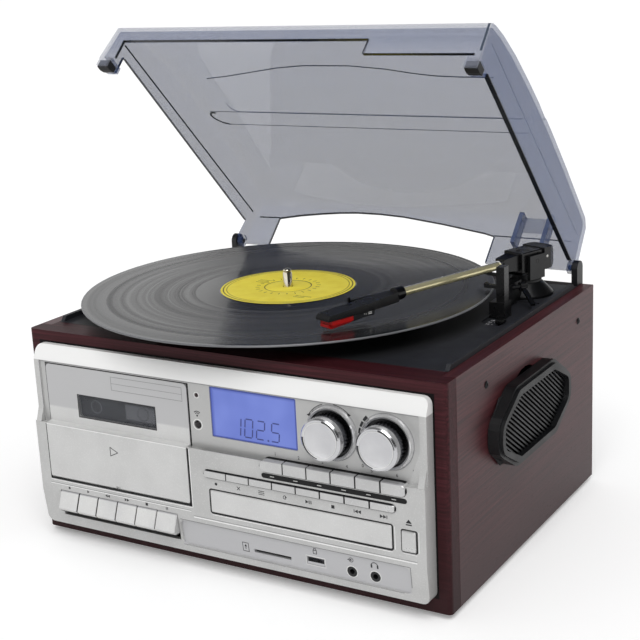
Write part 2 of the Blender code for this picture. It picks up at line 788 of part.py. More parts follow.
# Black deck with its cut-outs
def build_deck():
    outline = rounded((-DECK_HALF_WIDTH, DECK_HALF_WIDTH), (LEDGE_DEPTH, BACK_Y - GAP), DECK_CORNER_RADIUS)
    deck = piece("deck_plate", prism(outline, "Z", (DECK_BOTTOM, DECK_TOP)), BLACK, 0.5)
    start = LEDGE_DEPTH + DECK_CORNER_RADIUS
    end = CABINET_DEPTH - DECK_LIP_SHORT
    lip = [
        (start, DECK_TOP - WELD_DEPTH), (start + DECK_LIP_HEIGHT, DECK_TOP + DECK_LIP_HEIGHT),
        (end - DECK_LIP_HEIGHT, DECK_TOP + DECK_LIP_HEIGHT), (end, DECK_TOP - WELD_DEPTH),
    ]
    for side in (-1, 1):
        weld(deck, prism(lip, "X", across(side, DECK_HALF_WIDTH - DECK_LIP_WIDTH, DECK_HALF_WIDTH)))
    recess = rounded(CONTROL_RECESS_X, ahead_of_arm(CONTROL_RECESS_AHEAD), CONTROL_RECESS_RADIUS)
    cut(deck, prism(recess, "Z", (DECK_TOP - CONTROL_RECESS_DEPTH, DECK_TOP + PAST)))
    through = (DECK_BOTTOM - PAST, DECK_TOP + PAST)
    cut(deck, rod((PLATTER_X, PLATTER_Y), "Z", SPINDLE_RADIUS + GAP, through, COARSE))
    cut(deck, rod(motor_place(), "Z", MOTOR_HOLE, through, COARSE))
    half = SWITCH_SLOT_LENGTH / 2
    wide = SWITCH_SLOT_WIDTH / 2
    cut(deck, block((SWITCH_X - wide, SWITCH_X + wide), (SWITCH_Y - half, SWITCH_Y + half), through))


def ahead_of_arm(distances):
    """Limits along Y that are measured forward from the tonearm's pivot."""
    return (ARM_Y - distances[0], ARM_Y - distances[1])


def motor_place():
    return (PLATTER_X + MOTOR_DISTANCE * math.cos(MOTOR_ANGLE),
            PLATTER_Y + MOTOR_DISTANCE * math.sin(MOTOR_ANGLE))


# Silver front panel
def panel_profile():
    """Outer side view of the panel: (y, z) from the bottom to the top."""
    return [
        (-PANEL_FOOT_REACH, up(PANEL_BOTTOM)),
        (-PANEL_REACH, up(PANEL_RIDGE)),
        (-PANEL_REACH, up(PANEL_STEP)),
        (-PANEL_UPPER_REACH, up(PANEL_STEP + PANEL_STEP_RISE)),
        (-PANEL_UPPER_REACH, up(PANEL_BEVEL)),
        (-PANEL_TOP_REACH, up(PANEL_TOP)),
    ]


def panel_face(height):
    """How far the sloping foot of the panel stands out at a height."""
    share = (height - PANEL_BOTTOM) / (PANEL_RIDGE - PANEL_BOTTOM)
    return PANEL_FOOT_REACH + (PANEL_REACH - PANEL_FOOT_REACH) * min(max(share, 0.0), 1.0)


def build_panel():
    outer = panel_profile() + [(-GAP, up(PANEL_TOP)), (-GAP, up(PANEL_BOTTOM))]
    panel = piece("front_bezel", prism(outer, "X", (-PANEL_HALF_WIDTH, PANEL_HALF_WIDTH)), SILVER, 0.35, 0.6)
    ring = rounded((-PANEL_HALF_WIDTH, PANEL_HALF_WIDTH), (up(PANEL_BOTTOM), up(PANEL_TOP)), PANEL_CORNER_RADIUS)
    combine(panel, prism(ring, "Y", (-CABINET_DEPTH, PAST)), "INTERSECT")

    for side in (-1, 1):
        slope = [
            (-PANEL_UPPER_REACH + WELD_DEPTH, up(PANEL_SLOPE_TOP)),
            (-PANEL_REACH, up(PANEL_STEP - PANEL_STEP_RISE)),
            (-PANEL_UPPER_REACH + WELD_DEPTH, up(PANEL_STEP - PANEL_STEP_RISE)),
        ]
        weld(panel, prism(slope, "X", across(side, PANEL_HALF_WIDTH - PANEL_BORDER, PANEL_HALF_WIDTH - WELD_DEPTH)))

    inner_top = up(PANEL_TOP) - PANEL_WALL
    inner_bottom = up(PANEL_BOTTOM) + PANEL_WALL
    upper = -PANEL_UPPER_REACH + RECESS_DEPTH + PANEL_WALL
    lower = -PANEL_REACH + PANEL_WALL
    foot = -PANEL_FOOT_REACH + LOWER_RECESS_DEPTH + PANEL_WALL
    hollow = [
        (foot, inner_bottom), (lower + LOWER_RECESS_DEPTH, up(PANEL_RIDGE)), (lower, up(PANEL_RIDGE)),
        (lower, up(PANEL_STEP) - PANEL_WALL), (upper, up(PANEL_STEP) - PANEL_WALL),
        (upper, up(PANEL_BEVEL)), (-PANEL_TOP_REACH + PANEL_WALL, inner_top), (PAST, inner_top), (PAST, inner_bottom),
    ]
    inside = PANEL_HALF_WIDTH - PANEL_WALL
    cut(panel, prism(hollow, "X", (-inside, inside)))
    cut_upper_recess(panel)
    cut_lower_recess(panel)
    add_knob_rings(panel)
    add_bosses(panel)
    cut_openings(panel)


def cut_upper_recess(panel):
    """The darker field round the display, with its slanting lower right corner."""
    edge = PANEL_HALF_WIDTH - PANEL_BORDER
    outline = [
        (-edge, up(PANEL_STEP - PANEL_STEP_RISE)), (RECESS_LOW_X, up(RECESS_LOW)), (edge, up(RECESS_KNEE)),
        (edge, up(RECESS_TOP)), (-edge, up(RECESS_TOP)),
    ]
    cut(panel, prism(outline, "Y", (-PANEL_UPPER_REACH - PAST, -PANEL_UPPER_REACH + RECESS_DEPTH)))


def cut_lower_recess(panel):
    """The shallow field round the sockets, tilted like the foot of the panel."""
    outline = rounded(LOWER_RECESS_X, span_up(LOWER_RECESS_Z), LOWER_RECESS_RADIUS)
    shape = prism(outline, "Y", (-PAST, LOWER_RECESS_DEPTH))
    lean = (PANEL_REACH - PANEL_FOOT_REACH) / (PANEL_RIDGE - PANEL_BOTTOM)
    for vert in shape.verts:
        vert.co.y -= PANEL_FOOT_REACH + lean * (vert.co.z - up(PANEL_BOTTOM))
    cut(panel, shape)


def add_knob_rings(panel):
    ground = PANEL_UPPER_REACH - RECESS_DEPTH
    profile = [
        (RING_INNER, -ground + WELD_DEPTH), (RING_OUTER, -ground + WELD_DEPTH),
        (RING_OUTER, -ground - RING_HEIGHT / 3), (RING_CREST, -ground - RING_HEIGHT),
        (RING_INNER, -ground - RING_HEIGHT * 2 / 3),
    ]
    for x in KNOB_X:
        weld(panel, turned(profile, (x, 0.0, up(KNOB_Z)), "Y", ROUND))
        cut(panel, rod((x, up(KNOB_Z)), "Y", KNOB_SHAFT_RADIUS + GAP, (-ground - PAST, PAST), COARSE))


def boss_places():
    """Places along X of the posts that carry the cassette mechanism."""
    return (DOOR_X[0] + MECH_BOSS_INSET + BOSS_RADIUS, DOOR_X[1] - MECH_BOSS_INSET - BOSS_RADIUS)


def add_bosses(panel):
    """Posts behind the panel that carry the cassette mechanism."""
    inner = -PANEL_UPPER_REACH + RECESS_DEPTH
    for x in boss_places():
        weld(panel, rod((x, up(PANEL_BEVEL)), "Y", BOSS_RADIUS / 2, (inner + WELD_DEPTH, MECH_Y[0] - GAP), COARSE))
        weld(panel, rod((x, up(KEY_BAY_TOP) + BOSS_RADIUS + GAP), "Y", BOSS_RADIUS,
                        (-PANEL_REACH + PANEL_WALL - WELD_DEPTH, MECH_Y[0] - GAP), COARSE))


def grown(limits, gap):
    return (limits[0] - gap, limits[1] + gap)


def cut_openings(panel):
    depth = (-PANEL_REACH - PAST, PAST)
    door_x = grown(DOOR_X, DOOR_GAP)
    door_z = span_up((DOOR_BOTTOM - DOOR_GAP, DOOR_TOP + DOOR_GAP))
    cut(panel, prism(rounded(door_x, door_z, DOOR_CORNER_RADIUS), "Y", (-PANEL_REACH - PAST, -PANEL_TOP_REACH)))
    cut(panel, block(door_x, (-PANEL_TOP_REACH - PAST, PAST), (door_z[0] + BOSS_RADIUS, door_z[1])))
    cut(panel, block(KEY_BAY_X, depth, (up(KEY_BAY_BOTTOM), up(KEY_BAY_TOP))))
    display = rounded(grown(DISPLAY_X, GAP), grown(span_up(DISPLAY_Z), GAP), DISPLAY_RADIUS)
    cut(panel, prism(display, "Y", depth))
    ground = -PANEL_UPPER_REACH + RECESS_DEPTH
    cut(panel, rod((LAMP_X, up(LAMP_Z)), "Y", LAMP_RADIUS, (ground - PAST, ground + LAMP_DEPTH), COARSE))
    cut(panel, rod((SENSOR_X, up(SENSOR_Z)), "Y", SENSOR_RADIUS, (ground - PAST, ground + LAMP_DEPTH), COARSE))
    for x, z in ((FUNCTION_X, FUNCTION_Z), (TRANSPORT_X, TRANSPORT_Z)):
        high = span_up(z)
        slot = rounded(grown(x, BUTTON_GAP), grown(high, BUTTON_GAP), (high[1] - high[0]) / 2 + BUTTON_GAP)
        cut(panel, prism(slot, "Y", depth))
    strip_z = span_up(STRIP_Z)
    strip = rounded(STRIP_X, strip_z, (strip_z[1] - strip_z[0]) / 2)
    cut(panel, prism(strip, "Y", (-PANEL_REACH - PAST, -PANEL_REACH + STRIP_DEPTH)))
    eject = rounded(grown(EJECT_X, BUTTON_GAP), grown(span_up(EJECT_Z), BUTTON_GAP), BUTTON_FLANGE)
    cut(panel, prism(eject, "Y", depth))
    tray = rounded(grown(TRAY_FACE_X, GAP), grown(span_up(TRAY_FACE_Z), GAP), TRAY_FACE_RADIUS)
    cut(panel, prism(tray, "Y", depth))
    cut(panel, block(CARD_X, depth, span_up(CARD_Z)))
    cut(panel, block(grown(USB_X, GAP), depth, grown(span_up(USB_Z), GAP)))
    for x in JACK_X:
        cut(panel, rod((x, up(JACK_Z)), "Y", JACK_RADIUS + GAP, depth, COARSE))


# Cassette door with its window and the carrier behind it
def build_cassette_door():
    front = PANEL_REACH + DOOR_PROUD
    upper = PANEL_UPPER_REACH - RECESS_DEPTH + DOOR_PROUD
    hinge_y = -front + DOOR_HINGE_BACK
    hinge_z = up(DOOR_BOTTOM + DOOR_HINGE_UP)
    holder = pivot("cassette_door_hinge", (0.0, hinge_y, hinge_z))
    step = up(PANEL_STEP)
    profile = [
        (-front + DOOR_EDGE, up(DOOR_BOTTOM)), (-front, up(DOOR_BOTTOM) + DOOR_EDGE),
        (-front, step), (-upper, step + PANEL_STEP_RISE), (-upper, up(DOOR_TOP)),
        (-upper + DOOR_THICKNESS, up(DOOR_TOP)), (-upper + DOOR_THICKNESS, step - DOOR_THICKNESS),
        (-front + DOOR_THICKNESS, step - DOOR_THICKNESS), (-front + DOOR_THICKNESS, up(DOOR_BOTTOM) + DOOR_EDGE),
        (-front + DOOR_THICKNESS - DOOR_EDGE / 2, up(DOOR_BOTTOM)),
    ]
    door = piece("cassette_door", prism(profile, "X", DOOR_X), SILVER, 0.35, 0.6, holder)
    face = rounded(DOOR_X, span_up((DOOR_BOTTOM, DOOR_TOP)), DOOR_CORNER_RADIUS)
    combine(door, prism(face, "Y", (-front - PAST, PAST)), "INTERSECT")
    middle = (DOOR_X[0] + DOOR_X[1]) / 2
    inner = -upper + DOOR_THICKNESS
    start = -front + DOOR_THICKNESS - WELD_DEPTH
    low = up(DOOR_BOTTOM) + CARRIER_SHELF
    cheek = [
        (start, low), (inner + CARRIER_DEPTH, low), (inner + CARRIER_DEPTH, low + CARRIER_HEIGHT),
        (inner - WELD_DEPTH, low + CARRIER_HEIGHT), (inner - WELD_DEPTH, step - DOOR_THICKNESS + WELD_DEPTH),
        (start, step - DOOR_THICKNESS + WELD_DEPTH),
    ]
    for side in (-1, 1):
        x = sorted((middle + side * CARRIER_HALF_WIDTH, middle + side * (CARRIER_HALF_WIDTH + CARRIER_WALL)))
        weld(door, prism(cheek, "X", x))
    reach = CARRIER_HALF_WIDTH + CARRIER_WALL / 2
    weld(door, block((middle - reach, middle + reach), (start + WELD_DEPTH / 2, inner + CARRIER_DEPTH - WELD_DEPTH),
                     (low + WELD_DEPTH, low + WELD_DEPTH + CARRIER_WALL)))
    window = rounded(grown(DOOR_WINDOW_X, GAP), grown(span_up(DOOR_WINDOW_Z), GAP), DOOR_WINDOW_RADIUS)
    cut(door, prism(window, "Y", (-upper - PAST, inner + PAST)))
    half = DOOR_NOTCH_WIDTH / 2
    cut(door, block((middle - half, middle + half), (-front - PAST, -front + DOOR_THICKNESS / 2),
                    (up(DOOR_BOTTOM) - PAST, up(DOOR_BOTTOM) + DOOR_NOTCH_HEIGHT + DOOR_EDGE)))
    pane = rounded(DOOR_WINDOW_X, span_up(DOOR_WINDOW_Z), DOOR_WINDOW_RADIUS)
    glass = -upper + RECESS_DEPTH
    piece("cassette_window", prism(pane, "Y", (glass, glass + DOOR_WINDOW_THICKNESS)), BLACK, 0.1, 0.0, holder)


# Cassette mechanism and its six keys
def build_cassette_mechanism():
    middle = (DOOR_X[0] + DOOR_X[1]) / 2
    x = (DOOR_X[0] + MECH_INSET, DOOR_X[1] - MECH_INSET)
    mech = piece("cassette_mechanism", block(x, MECH_Y, span_up(MECH_Z)), BLACK, 0.6)
    for side in (-1, 1):
        weld(mech, rod((middle + side * REEL_HALF_PITCH, up(REEL_Z)), "Y", REEL_RADIUS,
                       (-REEL_TIP, MECH_Y[0] + WELD_DEPTH), COARSE))
    weld(mech, rod((middle + CAPSTAN_X, up(CAPSTAN_Z)), "Y", CAPSTAN_RADIUS,
                   (-REEL_TIP, MECH_Y[0] + WELD_DEPTH), COARSE))
    for place in boss_places():
        leg = (place - BOSS_RADIUS, place + BOSS_RADIUS)
        weld(mech, block(leg, (MECH_Y[0], MECH_Y[0] + BOSS_RADIUS),
                         (up(MECH_Z[1]) - WELD_DEPTH, up(PANEL_BEVEL) + BOSS_RADIUS / 2)))
        weld(mech, block(leg, MECH_Y, (up(AXLE_MOUNT_LOW), up(MECH_Z[0]) + WELD_DEPTH)))
    left = KEY_BAY_X[0] - AXLE_MOUNT_WIDTH
    right = KEY_BAY_X[1] + AXLE_MOUNT_WIDTH
    for mount in ((left, KEY_BAY_X[0]), (KEY_BAY_X[1], right)):
        weld(mech, block(mount, (AXLE_MOUNT_Y, MECH_Y[0] + WELD_DEPTH), (up(AXLE_MOUNT_LOW), up(KEY_BAY_TOP))))
    weld(mech, rod((AXLE_BACK, key_axle_height()), "X", AXLE_RADIUS,
                   (KEY_BAY_X[0] - WELD_DEPTH, KEY_BAY_X[1] + WELD_DEPTH), COARSE))


def key_axle_height():
    return up(KEY_BAY_TOP) - KEY_GAP - KEY_ARM_HEIGHT / 2


def build_keys():
    pitch = (KEY_BAY_X[1] - KEY_BAY_X[0] - KEY_GAP) / KEY_COUNT
    top = up(KEY_BAY_TOP) - KEY_GAP
    for number in range(KEY_COUNT):
        x = (KEY_BAY_X[0] + KEY_GAP + number * pitch, KEY_BAY_X[0] + (number + 1) * pitch)
        holder = pivot("cassette_key_" + str(number + 1) + "_axis", (x[0], AXLE_BACK, key_axle_height()))
        profile = [
            (-KEY_TOP_REACH, top), (-KEY_REACH, up(KEY_BOTTOM) + KEY_LIP), (-KEY_REACH + KEY_LIP, up(KEY_BOTTOM)),
            (-PANEL_TOP_REACH, up(KEY_BOTTOM)), (-PANEL_TOP_REACH, top - KEY_ARM_HEIGHT),
            (KEY_DEPTH, top - KEY_ARM_HEIGHT), (KEY_DEPTH, top),
        ]
        key = piece("cassette_key_" + str(number + 1), prism(profile, "X", x), SILVER, 0.3, 0.0, holder)
        soften(key, BUTTON_EDGE)
        cut(key, rod((AXLE_BACK, key_axle_height()), "X", AXLE_RADIUS + PIN_GAP, (x[0] - PAST, x[1] + PAST), COARSE))


# Display window, knobs and push buttons
def build_display():
    back = -PANEL_UPPER_REACH + RECESS_DEPTH + GAP
    outline = rounded(DISPLAY_X, span_up(DISPLAY_Z), DISPLAY_RADIUS)
    piece("lcd_window", prism(outline, "Y", (back, back + DISPLAY_THICKNESS)), (0.16, 0.18, 0.60), 0.15)


def build_knobs():
    ground = -PANEL_UPPER_REACH + RECESS_DEPTH - GAP
    front = ground - KNOB_LENGTH
    collar = front + KNOB_CAP_LENGTH
    for x, name in zip(KNOB_X, ("tuning_knob", "volume_knob")):
        holder = pivot(name + "_axis", (x, ground, up(KNOB_Z)))
        ribs = []
        for number in range(KNOB_RIB_COUNT * 2):
            angle = math.pi * number / KNOB_RIB_COUNT
            radius = KNOB_RADIUS - KNOB_RIB_DEPTH * (1 + number % 2)
            ribs.append((x + radius * math.cos(angle), up(KNOB_Z) + radius * math.sin(angle)))
        knob = piece(name, prism(ribs, "Y", (collar - WELD_DEPTH, ground)), SILVER, 0.25, 0.8, holder)
        profile = [
            (0.0, collar), (KNOB_RADIUS, collar), (KNOB_RADIUS, front + KNOB_CAP_EDGE),
            (KNOB_RADIUS - KNOB_CAP_EDGE, front), (KNOB_RADIUS - 2 * KNOB_CAP_EDGE, front),
            (KNOB_RADIUS - 3 * KNOB_CAP_EDGE, front + KNOB_CAP_EDGE / 2), (0.0, front + KNOB_CAP_EDGE / 2),
        ]
        weld(knob, turned(profile, (x, 0.0, up(KNOB_Z)), "Y", ROUND))
        weld(knob, rod((x, up(KNOB_Z)), "Y", KNOB_SHAFT_RADIUS, (ground - WELD_DEPTH, ground + KNOB_SHAFT_LENGTH),
                       COARSE))


def build_button_row(name, count, limits_x, limits_z):
    """A row of push buttons in one long slot with round ends."""
    high = span_up(limits_z)
    end = (high[1] - high[0]) / 2
    pitch = (limits_x[1] - limits_x[0] + BUTTON_GAP) / count
    for number in range(count):
        x = (limits_x[0] + number * pitch, limits_x[0] + (number + 1) * pitch - BUTTON_GAP)
        left = end if number == 0 else 0.0
        right = end if number == count - 1 else 0.0
        outline = rounded(x, high, 0.0, low_right=right, high_right=right, high_left=left, low_left=left)
        front = -PANEL_REACH - BUTTON_PROUD
        shape = prism(outline, "Y", (front, front + BUTTON_DEPTH))
        label = name + "_" + str(number + 1)
        holder = pivot(label + "_axis", ((x[0] + x[1]) / 2, front, (high[0] + high[1]) / 2))
        soften(piece(label, shape, SILVER, 0.3, 0.3, holder), BUTTON_EDGE)


def build_buttons():
    build_button_row("function_button", FUNCTION_COUNT, FUNCTION_X, FUNCTION_Z)
    build_button_row("transport_button", TRANSPORT_COUNT, TRANSPORT_X, TRANSPORT_Z)
    front = -PANEL_REACH - BUTTON_PROUD
    outline = rounded(EJECT_X, span_up(EJECT_Z), BUTTON_FLANGE)
    middle = ((EJECT_X[0] + EJECT_X[1]) / 2, front, up((EJECT_Z[0] + EJECT_Z[1]) / 2))
    holder = pivot("open_close_button_axis", middle)
    soften(piece("open_close_button", prism(outline, "Y", (front, front + BUTTON_DEPTH)), SILVER, 0.3, 0.3, holder),
           BUTTON_EDGE)


# CD drive and its tray
def build_cd_drive():
    x = drive_limits()
    low = up(DRIVE_BOTTOM)
    drive = piece("cd_drive", block(x, DRIVE_Y, (low, low + DRIVE_HEIGHT)), STEEL, 0.5, 0.7)
    cavity_x = (TRAY_FACE_X[0] + TRAY_BODY_INSET - TRAY_GAP, TRAY_FACE_X[1] - TRAY_BODY_INSET + TRAY_GAP)
    cut(drive, block(cavity_x, (DRIVE_Y[0] - PAST, DRIVE_Y[1] - DRIVE_WALL), grown(span_up(TRAY_BODY_Z), TRAY_GAP)))

    front = -PANEL_REACH - TRAY_FACE_PROUD
    face = rounded(TRAY_FACE_X, span_up(TRAY_FACE_Z), TRAY_FACE_RADIUS)
    holder = pivot("cd_tray_axis", ((x[0] + x[1]) / 2, front, up(TRAY_BODY_Z[0])))
    tray = piece("cd_tray", prism(face, "Y", (front, front + TRAY_FACE_THICKNESS)), SILVER, 0.35, 0.3, holder)
    soften(tray, BUTTON_EDGE)
    body_x = (TRAY_FACE_X[0] + TRAY_BODY_INSET, TRAY_FACE_X[1] - TRAY_BODY_INSET)
    back = front + TRAY_LENGTH
    weld(tray, block(body_x, (front + TRAY_FACE_THICKNESS - WELD_DEPTH, back), span_up(TRAY_BODY_Z)))
    middle = (body_x[0] + body_x[1]) / 2
    top = up(TRAY_BODY_Z[1])
    cut(tray, rod((middle, DISC_CENTRE_Y), "Z", DISC_RECESS_RADIUS, (top - DISC_RECESS_DEPTH, top + PAST), ROUND))
    slot = rounded((middle - DISC_HUB_RADIUS, middle + DISC_HUB_RADIUS),
                   (DISC_CENTRE_Y - DISC_HUB_RADIUS, back - DISC_HUB_RADIUS), DISC_HUB_RADIUS)
    cut(tray, prism(slot, "Z", (up(TRAY_BODY_Z[0]) - PAST, top + PAST)))


# Main board with the front sockets
def build_board():
    low = up(BOARD_BOTTOM)
    top = low + BOARD_THICKNESS
    board = piece("circuit_board", block(BOARD_X, BOARD_Y, (low, top)), (0.02, 0.12, 0.05), 0.5)
    block_y = (-SOCKET_FRONT, -SOCKET_FRONT + SOCKET_BLOCK_DEPTH)
    card = grown(CARD_X, CARD_BLOCK_SIDE)
    weld(board, block(card, block_y, (top - WELD_DEPTH, up(CARD_Z[1]) + CARD_BLOCK_SIDE)))
    cut(board, block(CARD_X, (-SOCKET_FRONT - PAST, -SOCKET_FRONT + USB_DEPTH), span_up(CARD_Z)))
    usb_front = -panel_face(USB_Z[0]) + LOWER_RECESS_DEPTH
    usb_z = span_up(USB_Z)
    weld(board, block(USB_X, (usb_front, block_y[1]), (usb_z[0], usb_z[1])))
    weld(board, block(USB_X, (0.0, block_y[1] - WELD_DEPTH), (top - WELD_DEPTH, usb_z[0] + WELD_DEPTH)))
    mouth = grown(USB_X, -USB_WALL)
    cut(board, block(mouth, (usb_front - PAST, usb_front + USB_DEPTH), (usb_z[0] + USB_TONGUE_HEIGHT, usb_z[1] - USB_WALL)))
    for x in JACK_X:
        face = -panel_face(JACK_Z) + LOWER_RECESS_DEPTH
        centre = (x, up(JACK_Z))
        half = JACK_BLOCK_HALF
        weld(board, block((x - half, x + half), block_y, (top - WELD_DEPTH, up(JACK_Z) + half)))
        weld(board, rod(centre, "Y", JACK_RADIUS, (face, -SOCKET_FRONT + WELD_DEPTH), COARSE))
        cut(board, rod(centre, "Y", JACK_BORE, (face - PAST, face + JACK_DEPTH), COARSE))


# Speakers behind the side panels and grilles outside them
def octagon(inset):
    """The grille's outline, an octagon with round corners, drawn smaller by an inset."""
    wide = GRILLE_HALF_WIDTH - inset
    high = GRILLE_HALF_HEIGHT - inset
    lean_y = GRILLE_HALF_WIDTH - GRILLE_FLAT_HALF_TOP
    lean_z = GRILLE_HALF_HEIGHT - GRILLE_FLAT_HALF_SIDE
    slant = math.hypot(lean_y, lean_z)
    top = GRILLE_FLAT_HALF_TOP - inset * (slant - lean_z) / lean_y
    side = GRILLE_FLAT_HALF_SIDE - inset * (slant - lean_y) / lean_z
    corners = [
        (wide, side), (top, high), (-top, high), (-wide, side),
        (-wide, -side), (-top, -high), (top, -high), (wide, -side),
    ]
    radius = max(GRILLE_CORNER_RADIUS - inset, GAP)
    points = []
    for number, place in enumerate(corners):
        here = Vector(place)
        before = (Vector(corners[number - 1]) - here).normalized()
        after = (Vector(corners[(number + 1) % len(corners)]) - here).normalized()
        half = before.angle(after) / 2
        reach = radius / math.tan(half)
        centre = here + (before + after).normalized() * (radius / math.sin(half))
        start = here + before * reach - centre
        end = here + after * reach - centre
        total = start.angle_signed(end) * -1
        for step in range(CORNER_STEPS):
            spun = Matrix.Rotation(total * step / (CORNER_STEPS - 1), 2) @ start
            points.append((SPEAKER_Y + centre.x + spun.x, SPEAKER_Z + centre.y + spun.y))
    return points


def build_speaker(side, name):
    inner = INNER_X - GAP
    profile = [
        (0.0, DRIVER_NECK_DEPTH), (DRIVER_CONE_RADIUS / 3, DRIVER_CONE_DEPTH), (DRIVER_CONE_RADIUS, DRIVER_FLANGE / 2),
        (DRIVER_CONE_RADIUS, 0.0), (DRIVER_FLANGE_RADIUS, 0.0), (DRIVER_FLANGE_RADIUS, DRIVER_FLANGE),
        (DRIVER_NECK_RADIUS, DRIVER_FLANGE), (DRIVER_MAGNET_RADIUS, DRIVER_NECK_DEPTH),
        (DRIVER_MAGNET_RADIUS, DRIVER_DEPTH), (0.0, DRIVER_DEPTH),
    ]
    placed = [(radius, side * (inner - depth)) for radius, depth in profile]
    driver = turned(placed, (0.0, SPEAKER_Y, SPEAKER_Z), "X", MEDIUM)
    piece("speaker_driver_" + name, driver, BLACK, 0.7, smooth=False)

    outer = HALF_WIDTH + GAP
    height = GRILLE_HEIGHT - GRILLE_BEVEL
    grille = piece("speaker_grille_" + name, prism(octagon(0.0), "X", across(side, outer, outer + height)), BLACK, 0.5)
    weld(grille, prism(octagon(GRILLE_BEVEL), "X", across(side, outer + height - WELD_DEPTH, outer + GRILLE_HEIGHT)))
    cut(grille, prism(octagon(GRILLE_FRAME), "X", across(side, outer - PAST, outer + GRILLE_HEIGHT + PAST)))
    bars = bmesh.new()
    half = SLAT_LENGTH / 2
    for number in range(SLAT_COUNT):
        low = (number - (SLAT_COUNT - 1) / 2) * SLAT_PITCH - SLAT_WIDTH / 2
        bar = block(across(side, outer + SLAT_REACH[0], outer + SLAT_REACH[1]), (-half, half), (low, low + SLAT_WIDTH))
        turn(bar, -SLAT_TILT, "X")
        shift(bar, (0.0, SPEAKER_Y, SPEAKER_Z))
        held = bpy.data.meshes.new("bar")
        bar.to_mesh(held)
        bar.free()
        bars.from_mesh(held)
        bpy.data.meshes.remove(held)
    slats = weld(grille, bars)
    field = prism(octagon(GRILLE_FRAME - WELD_DEPTH), "X",
                  across(side, outer + SLAT_REACH[0] - WELD_DEPTH, outer + SLAT_REACH[1] + WELD_DEPTH))
    combine(slats, field, "INTERSECT")


